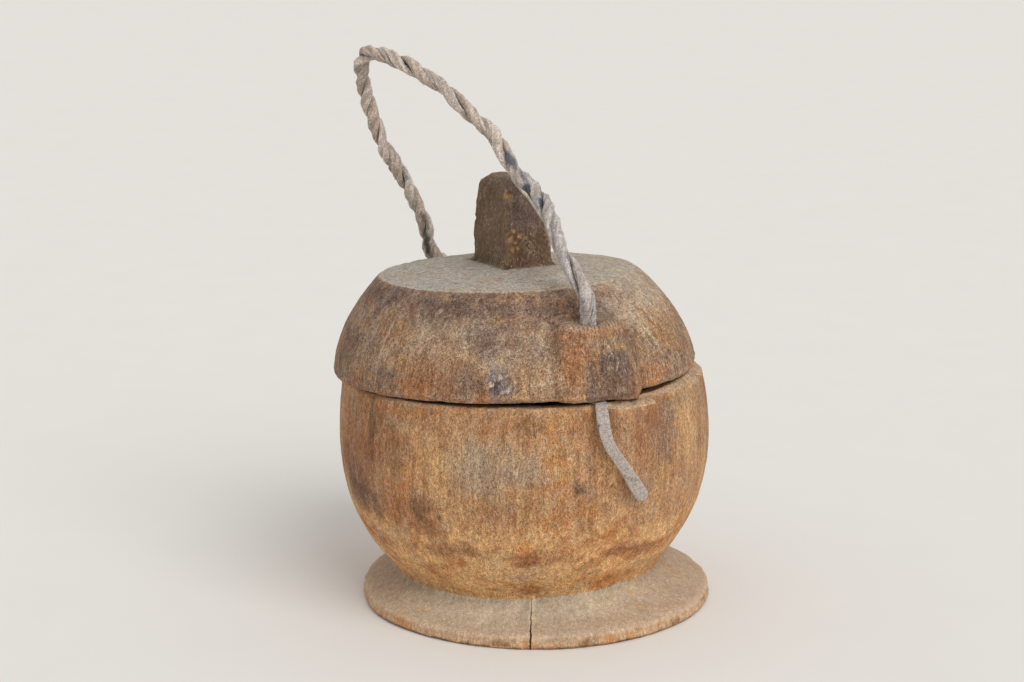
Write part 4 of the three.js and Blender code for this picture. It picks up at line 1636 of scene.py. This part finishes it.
    def add_fibres(self, mesh: TubeMesh, course: Course, tubes: list[tuple[np.ndarray, np.ndarray]]) -> None:
        """Adds the short fibres that stand out of the cloth, and last a few dark stray ones.

        Args:
            mesh: The handle's mesh to add to.
            course: The cord's line.
            tubes: The strands' rings and colours, the two thick ones first.
        """
        chance = np.random.default_rng(7)
        first, second = ring(3)
        for number in range(self.fibres + len(self.stray_fibres)):
            rings, tints = tubes[int(chance.integers(0, 2))]
            at = int(chance.integers(course.first + 12, course.last - 12))
            sector = int(chance.integers(0, rings.shape[1]))
            stray = number >= self.fibres
            if stray:
                share, wanted = self.stray_fibres[number - self.fibres]
                at = course.index(share)
                sector = int(np.argmax((rings[at] - course.line[at]) @ wanted))
            root = rings[at, sector]
            out = root - course.line[at]
            deep = float(np.linalg.norm(out))
            lean = out / deep + 0.7 * chance.normal(size=3)
            lean /= np.linalg.norm(lean)
            reach = self.stray_reach if stray else chance.uniform(*self.fibre_reach) * MM
            reach = min(reach, max(0.3 * MM, self.fibre_limit - deep))
            curl = 0.3 * reach * chance.normal(size=3)
            side, other = carried_frames(np.stack([root, root + lean]), np.array([0.3, 0.5, 0.8]))
            section = first[:, None] * side[0] + second[:, None] * other[0]
            parts = []
            for share, thick in ((-0.3, 1.0), (0.4, 0.8), (1.0, 0.35)):
                middle = root + lean * reach * share + curl * max(share, 0.0) ** 2
                radius = self.stray_radius if stray else self.fibre_radius
                parts.append(middle + radius * thick * section)
            shade = Tone.DARK.rgb if stray else tints[at, sector] * 1.1
            mesh.add(np.array(parts), np.tile(shade, (3, 3, 1)))

    @staticmethod
    def folds(strand: Strand, along: np.ndarray) -> np.ndarray:
        """The creases that run along a rolled-up strip.

        Args:
            strand: The strip.
            along: Each ring's distance from the cord's start.

        Returns:
            A height from about -1 to 1 for each point of each ring.
        """
        first, second = ring(strand.sides)
        spot = np.empty((len(along), strand.sides, 3))
        spot[..., 0] = 1.5 * first
        spot[..., 1] = 1.5 * second
        spot[..., 2] = along[:, None] / (8 * MM)
        return noise(spot, (0.75, 0.75, 1.0), strand.seed + 30)

    def shown(self, share: np.ndarray) -> np.ndarray:
        """How far the thin strip comes to the surface.

        Args:
            share: Shares of the handle's length.

        Returns:
            A value from 0 to 1 for each share.
        """
        total = np.zeros_like(share)
        for middle, half in self.surfaced:
            total = np.maximum(total, ease(1.0, 0.5, np.abs(share - middle) / half))
        return total

    @staticmethod
    def strand_tints(strand: Strand, rings: np.ndarray, share: np.ndarray) -> np.ndarray:
        """Colours a strand: greyer in patches and towards the front.

        Args:
            strand: The strand.
            rings: Its points.
            share: Share of the handle's length at each ring.

        Returns:
            A colour for each point.
        """
        patches = ease(0.1, 0.9, noise(rings, (7 * MM, 7 * MM, 9 * MM), strand.seed + 50))[..., None]
        front = ease(0.36, 0.22, share)[:, None, None]
        tint = np.tile(strand.tone.rgb, rings.shape[:2] + (1,))
        tint += (Tone.CLOTH_GREY.rgb - tint) * (0.65 * front + 0.2 * patches)
        tint += (Tone.CLOTH.rgb * 0.9 - tint) * 0.4 * (1 - patches) * (1 - front)
        return tint


@dataclass
class ClothTail:
    """The flat strip that hangs out of the seam under the front lug."""

    seat: LidSeat
    finish: ClothFinish
    width: float = 0.0064
    thickness: float = 0.0012
    step: float = 0.0006
    seam_turn: float = 25.8
    lid_radius: float = 0.0966
    seam_drop: tuple[float, float] = (0.00225, 0.0026)
    fold_at: float = 0.80
    fold_slant: float = 0.055
    fold_depth: float = 0.00045
    wool_depth: float = 0.00012
    sides: int = 20

    def build(self) -> bpy.types.Object:
        """Builds the strip and puts it on the lid.

        Returns:
            The finished piece.
        """
        start = [
            self.seat.hole(2.5 * MM),
            self.seat.hole(1.0 * MM),
            self.seat.hole(-self.seam_drop[0], outwards=3 * MM),
            self.seat.place(self.seam_turn, self.lid_radius, -self.seam_drop[1]),
        ]
        line = smooth_route(np.vstack([start, np.array(TAIL_ROUTE) + ORIGIN_SHIFT]), self.step)
        mesh = TubeMesh()
        mesh.add(*self.folded(line))
        tail = mesh.finished("cord_tail_strip", self.finish.build())
        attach(tail, "lid")
        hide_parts("cord_tail")
        return tail

    def folded(self, line: np.ndarray) -> tuple[np.ndarray, np.ndarray]:
        """Shapes the strip, thicker and creased where its end is folded over, and colours it.

        Args:
            line: The strip's middle line.

        Returns:
            Its rings of points and their colours.
        """
        angle = math.radians(self.seat.lug_turn)
        side, face = carried_frames(line, np.array([math.cos(angle), math.sin(angle), 0.0]))
        share = np.linspace(0.0, 1.0, len(line))
        waist = 0.10 * np.exp(-(((share - 0.58) / 0.14) ** 2))
        rounded = np.sqrt(np.clip(1.0 - (np.maximum(share - 0.955, 0.0) / 0.0475) ** 2, 0.02, 1.0))
        half = self.width / 2 * (0.98 - waist + 0.13 * ease(0.72, 0.9, share)) * rounded
        thick = self.thickness / 2 * (1.0 + 0.5 * ease(0.70, 0.80, share))
        across, out = ring(self.sides, 0.75)
        rings = swept(line, side, face, half[:, None] * across, thick[:, None] * out)
        fold = share[:, None] - self.fold_at - self.fold_slant * across[None, :]
        crease = np.exp(-((fold / 0.012) ** 2)) - 0.45 * ease(-0.06, 0.0, fold) * ease(0.02, -0.01, fold)
        forward = face @ (0.0, -1.0, 0.0)
        front = np.maximum(out if forward[len(line) // 2] > 0 else -out, 0.0)
        outward = (face * np.sign(forward)[:, None])[:, None]
        rings = rings - outward * (self.fold_depth * crease * front)[..., None]
        rings = rings + outward * (self.wool_depth * noise(rings, (2 * MM, 2 * MM, 3 * MM), 71, 2))[..., None]
        tint = np.tile((Tone.CLOTH.rgb + Tone.CLOTH_GREY.rgb) / 2, rings.shape[:2] + (1,))
        specks = ease(0.45, 0.9, noise(rings, (1.3 * MM, 1.3 * MM, 1.6 * MM), 72, 2))
        specks *= (0.12 + 0.6 * ease(0.45, 0.3, share))[:, None]
        tint += (Tone.INDIGO.rgb - tint) * specks[..., None]
        # Painted shade: the crease of the fold is darkened on the front face.
        return rings, tint * (1.0 - 0.45 * np.clip(crease, 0.0, 1.0) * front)[..., None]


@dataclass(frozen=True)
class Studio:
    """The camera, a plain pale floor and soft even light."""

    eye: tuple[float, float, float] = (-0.006075, -1.10067, 0.393)
    looks_down: float = 12.98
    lens: float = 74.0
    sensor: float = 36.0
    furthest: float = 100.0
    floor_half: float = 9.0
    floor_colour: tuple[int, int, int] = (228, 225, 220)
    sun_turn: float = 34.0
    sun_height: float = 40.0
    sun_strength: float = 1.7
    sun_softness: float = 45.0
    sky_colour: tuple[float, ...] = (1.0, 0.99, 0.98, 1.0)
    sky_strength: float = 0.66

    def place_camera(self) -> None:
        """Puts the camera where the photographed view is seen from."""
        data = bpy.data.cameras.new("view")
        data.lens = self.lens
        data.sensor_width = self.sensor
        data.clip_end = self.furthest
        camera = put("view", data)
        camera.location = self.eye
        camera.rotation_euler = (math.radians(90.0 - self.looks_down), 0.0, 0.0)
        bpy.context.scene.camera = camera

    def light(self) -> None:
        """Lights the object from the sky and from a broad lamp at the upper right."""
        world = bpy.data.worlds.new("sky")
        world.use_nodes = True
        sky = world.node_tree.nodes["Background"]
        sky.inputs["Color"].default_value = self.sky_colour
        sky.inputs["Strength"].default_value = self.sky_strength
        bpy.context.scene.world = world
        lamp = bpy.data.lights.new("sun", "SUN")
        lamp.energy = self.sun_strength
        lamp.angle = math.radians(self.sun_softness)
        turn, height = math.radians(self.sun_turn), math.radians(self.sun_height)
        level = math.cos(height)
        towards = Vector((math.sin(turn) * level, -math.cos(turn) * level, math.sin(height)))
        put("sun", lamp).rotation_euler = towards.to_track_quat("Z", "Y").to_euler()
        bpy.context.scene.view_settings.view_transform = "Standard"

    def lay_floor(self) -> None:
        """Lays the pale floor, finely mottled."""
        half = self.floor_half
        mesh = bpy.data.meshes.new("floor")
        corners = [(-half, -half, 0), (half, -half, 0), (half, half, 0), (-half, half, 0)]
        mesh.from_pydata(corners, [], [(0, 1, 2, 3)])
        paint = Shader("floor")
        cloud = paint.cloud(paint.place(), 0.02, 3.0)
        shade = paint.mixed(paint.spread(cloud, 0.3, 0.7), grey(0.985), grey(1.0))
        colour = paint.tinted(opaque(np.array(self.floor_colour) / 255), shade)
        mesh.materials.append(paint.finish(colour, paint.spread(cloud, 0.0, 1.0, 0.85, 0.95), cloud, 0.0001))
        put("floor", mesh)


CLOTH_STAINS = [
    ClothStain(0.303, 1.2 * MM, 0.3 * MM, 7.0 * MM, 2.3 * MM, Tone.INDIGO, 0.85),
    ClothStain(0.251, -1.0 * MM, -1.2 * MM, 3.0 * MM, 2.6 * MM, Tone.INDIGO, 0.80),
    ClothStain(0.211, -0.4 * MM, -0.5 * MM, 5.4 * MM, 1.9 * MM, Tone.INDIGO, 0.80),
    ClothStain(0.275, 1.6 * MM, 0.8 * MM, 6.0 * MM, 1.3 * MM, Tone.SLATE, 0.60),
    ClothStain(0.092, 1.2 * MM, 0.5 * MM, 7.0 * MM, 1.5 * MM, Tone.SLATE, 0.75),
    ClothStain(0.015, -1.5 * MM, -0.5 * MM, 5.0 * MM, 1.6 * MM, Tone.SLATE, 0.5),
    ClothStain(0.945, -0.4 * MM, 0.0, 9.0 * MM, 1.7 * MM, Tone.MOSS, 0.9),
    ClothStain(0.905, 0.8 * MM, 0.0, 6.0 * MM, 1.3 * MM, Tone.MOSS, 0.6),
    ClothStain(0.832, 2.0 * MM, 0.6 * MM, 1.5 * MM, 1.4 * MM, Tone.INDIGO, 0.6),
    ClothStain(0.600, 0.0, -1.5 * MM, 6.0 * MM, 1.2 * MM, Tone.SLATE, 0.35),
]

BOWL_MARKS: list[Stain | Scratch] = [
    Stain(-57.5, 0.0939, 0.024, 0.026, Tone.RUSSET, 0.50),
    Stain(-57.0, 0.0695, 0.020, 0.010, Tone.DARK, 0.50),
    Stain(-62.0, 0.0820, 0.016, 0.012, Tone.DARK, 0.35),
    Stain(-40.8, 0.1033, 0.010, 0.014, Tone.BROWN, 0.35),
    Stain(-29.4, 0.0607, 0.020, 0.006, Tone.RUSSET, 0.55, 0.7),
    Stain(-44.0, 0.0760, 0.010, 0.012, Tone.ORANGE, 0.45, 0.7),
    Stain(-22.0, 0.0500, 0.018, 0.005, Tone.BROWN, 0.40, 0.7),
    Stain(8.0, 0.0480, 0.016, 0.006, Tone.RUSSET, 0.40, 0.7),
    Stain(-8.7, 0.0966, 0.022, 0.012, Tone.ASH, 0.30),
    Stain(24.0, 0.0559, 0.022, 0.007, Tone.ORANGE, 0.45),
    Stain(33.0, 0.0470, 0.010, 0.003, Tone.RUSSET, 0.65),
    Stain(-51.6, 0.1120, 0.0045, 0.018, Tone.DARK, 0.45),
    Stain(-32.6, 0.0720, 0.011, 0.006, Tone.BROWN, 0.70, 0.7),
    Stain(-15.7, 0.0956, 0.016, 0.015, Tone.ASH, 0.50),
    Stain(-1.2, 0.0966, 0.010, 0.012, Tone.ASH, 0.35),
    Stain(19.2, 0.1028, 0.005, 0.013, Tone.RUSSET, 0.40),
    Stain(48.9, 0.1077, 0.010, 0.015, Tone.PLUM, 0.42),
    Stain(40.0, 0.1050, 0.017, 0.016, Tone.RUSSET, 0.38),
    Stain(60.0, 0.1035, 0.009, 0.022, Tone.GOLD, 0.55),
    Stain(46.0, 0.0825, 0.012, 0.010, Tone.GOLD, 0.45),
    Stain(-40.0, 0.1205, 0.026, 0.0035, Tone.ORANGE, 0.55),
    Stain(2.9, 0.1190, 0.0062, 0.0048, Tone.BROWN, 0.90, 0.25),
    Stain(2.9, 0.1190, 0.0042, 0.0030, Tone.OCHRE, 0.90, 0.25),
    Stain(2.9, 0.1190, 0.0016, 0.0013, Tone.DARK, 0.85, 0.25),
    Stain(16.2, 0.0858, 0.0050, 0.0042, Tone.BROWN, 0.55),
    Stain(16.2, 0.0858, 0.0028, 0.0024, Tone.DARK, 0.70),
    Stain(64.0, 0.0080, 0.016, 0.006, Tone.RUSSET, 0.60),
]

LID_MARKS: list[Stain | Scratch] = [
    Stain(-29.0, 0.1415, 0.018, 0.012, Tone.RUSSET, 0.45),
    Stain(-71.0, 0.1419, 0.016, 0.014, Tone.DARK, 0.35),
    Stain(-18.3, 0.1612, 0.010, 0.007, Tone.ASH, 0.45),
    Stain(-7.6, 0.1405, 0.0042, 0.0085, Tone.SLATE, 0.62, 0.9),
    Stain(-5.4, 0.1365, 0.0044, 0.0034, Tone.SLATE, 0.70, 0.8),
    Stain(-8.4, 0.1385, 0.0024, 0.0036, Tone.SOOT, 0.50, 0.9),
    Stain(-4.6, 0.1352, 0.0020, 0.0014, Tone.SOOT, 0.45, 0.9),
    Stain(-10.0, 0.1388, 0.0014, 0.0011, Tone.CREAM, 0.90, 0.8),
    Stain(-7.4, 0.1425, 0.0008, 0.0015, Tone.CREAM, 0.85, 0.8),
    Stain(-4.6, 0.1372, 0.0009, 0.0014, Tone.CREAM, 0.85, 0.8),
    Stain(-6.2, 0.1352, 0.0015, 0.0007, Tone.CREAM, 0.75, 0.8),
    Stain(-26.5, 0.1530, 0.0220, 0.0100, Tone.BONE, 0.34, 0.9),
    Stain(-8.0, 0.1520, 0.0140, 0.0060, Tone.BONE, 0.26, 0.9),
    Stain(-12.0, 0.1600, 0.0160, 0.0070, Tone.PLUM, 0.40),
    Stain(-31.9, 0.1345, 0.0180, 0.0050, Tone.ORANGE, 0.40),
    Stain(24.0, 0.1625, 0.0170, 0.0035, Tone.ORANGE, 0.40),
    Scratch((7.2, 0.1640), (7.6, 0.1420), 0.0024, Tone.BONE, 0.50),
    Stain(45.0, 0.1369, 0.012, 0.008, Tone.ORANGE, 0.45),
    Stain(15.2, 0.1530, 0.0075, 0.020, Tone.RUSSET, 0.40),
    Stain(15.2, 0.1558, 0.0060, 0.018, Tone.ORANGE, 0.34),
    Stain(58.0, 0.1690, 0.0320, 0.010, Tone.BONE, 0.60),
    Stain(60.0, 0.1560, 0.0240, 0.012, Tone.OCHRE, 0.35),
    Stain(26.2, 0.1405, 0.0122, 0.0118, Tone.PLUM, 0.78, 0.16, 7.0),
    Stain(26.2, 0.1380, 0.0100, 0.0085, Tone.BROWN, 0.45, 0.5),
    Stain(26.2, 0.1380, 0.0085, 0.0100, Tone.DARK, 0.28, 0.6),
    Scratch((33.6, 0.1600), (34.2, 0.1330), 0.0012, Tone.DARK, 0.45),
    Scratch((25.5, 0.1575), (28.0, 0.1500), 0.0006, Tone.CREAM, 0.70),
    Scratch((29.5, 0.1500), (28.5, 0.1445), 0.0005, Tone.CREAM, 0.60),
    Stain(21.5, 0.1490, 0.0030, 0.0120, Tone.OCHRE, 0.45),
    Stain(-36.0, 0.1600, 0.0060, 0.0050, Tone.BONE, 0.35, 0.8),
    Stain(-24.0, 0.1630, 0.0080, 0.0035, Tone.BONE, 0.30, 0.8),
    Scratch((2.5, 0.1385), (9.5, 0.1400), 0.0006, Tone.CREAM, 0.55),
    Scratch((-49.5, 0.1630), (-49.4, 0.1300), 0.0006, Tone.CREAM, 0.40),
    Scratch((44.0, 0.1700), (52.0, 0.1450), 0.0009, Tone.CREAM, 0.45),
    Scratch((50.0, 0.1700), (60.0, 0.1420), 0.0007, Tone.BROWN, 0.45),
    Scratch((38.0, 0.1720), (41.0, 0.1580), 0.0010, Tone.ASH, 0.55),
]

KNOB_CHIPS = [
    Chip((-0.0100, -0.0082, 0.2200), 0.0021, 1.0),
    Chip((-0.0072, -0.0098, 0.2190), 0.0017, 0.9),
    Chip((-0.0160, -0.0040, 0.2240), 0.0015, 0.7),
    Chip((-0.0058, -0.0115, 0.2045), 0.0009, 0.8),
    Chip((-0.0048, -0.0113, 0.2010), 0.0012, 0.8),
    Chip((-0.0020, -0.0110, 0.1985), 0.0010, 0.9),
    Chip((-0.0068, -0.0125, 0.1968), 0.0014, 0.8),
    Chip((0.0004, -0.0105, 0.1972), 0.0011, 0.9),
    Chip((-0.0044, -0.0120, 0.1950), 0.0010, 0.8),
    Chip((-0.0060, -0.0128, 0.1915), 0.0012, 0.6),
    Chip((-0.0030, -0.0122, 0.1922), 0.0008, 0.7),
    Chip((-0.0045, -0.0145, 0.1800), 0.0018, 0.6),
]


def main() -> None:
    """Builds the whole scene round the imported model."""
    logging.basicConfig(level=logging.INFO, format="%(name)s %(message)s")
    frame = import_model()
    solids = frame["nodes"]
    studio = Studio()
    studio.place_camera()
    seat = LidSeat()
    for piece in TwistedCord(seat, ClothFinish("twisted_cloth"), CLOTH_STAINS).build():
        LOG.info("laid %s", piece.name)
    ClothTail(seat, ClothFinish("tail_cloth")).build()
    bowl_finish = WoodFinish("bowl_wood", crack=Crack(), ticks_across=(0.5, 0.3, 0.8), ticks_spacing=2.6)
    Bowl("bowl", "root", "bowl_wood", 1.38 * MM, bowl_finish, 11, BOWL_MARKS).build(solids)
    turn = math.radians(seat.lug_turn)
    lid_finish = WoodFinish(
        "lid_wood",
        speckle=0.66,
        fibre=0.65,
        grit=0.98,
        flecks=0.5,
        veins=0.6,
        warmth=0.25,
        ticks_across=(math.cos(turn), math.sin(turn), 0.0),
    )
    Lid("lid", "lid", "lid_wood", 1.08 * MM, lid_finish, 23, LID_MARKS, chips=KNOB_CHIPS).build(solids)
    studio.lay_floor()
    studio.light()


if __name__ == "__main__":
    main()
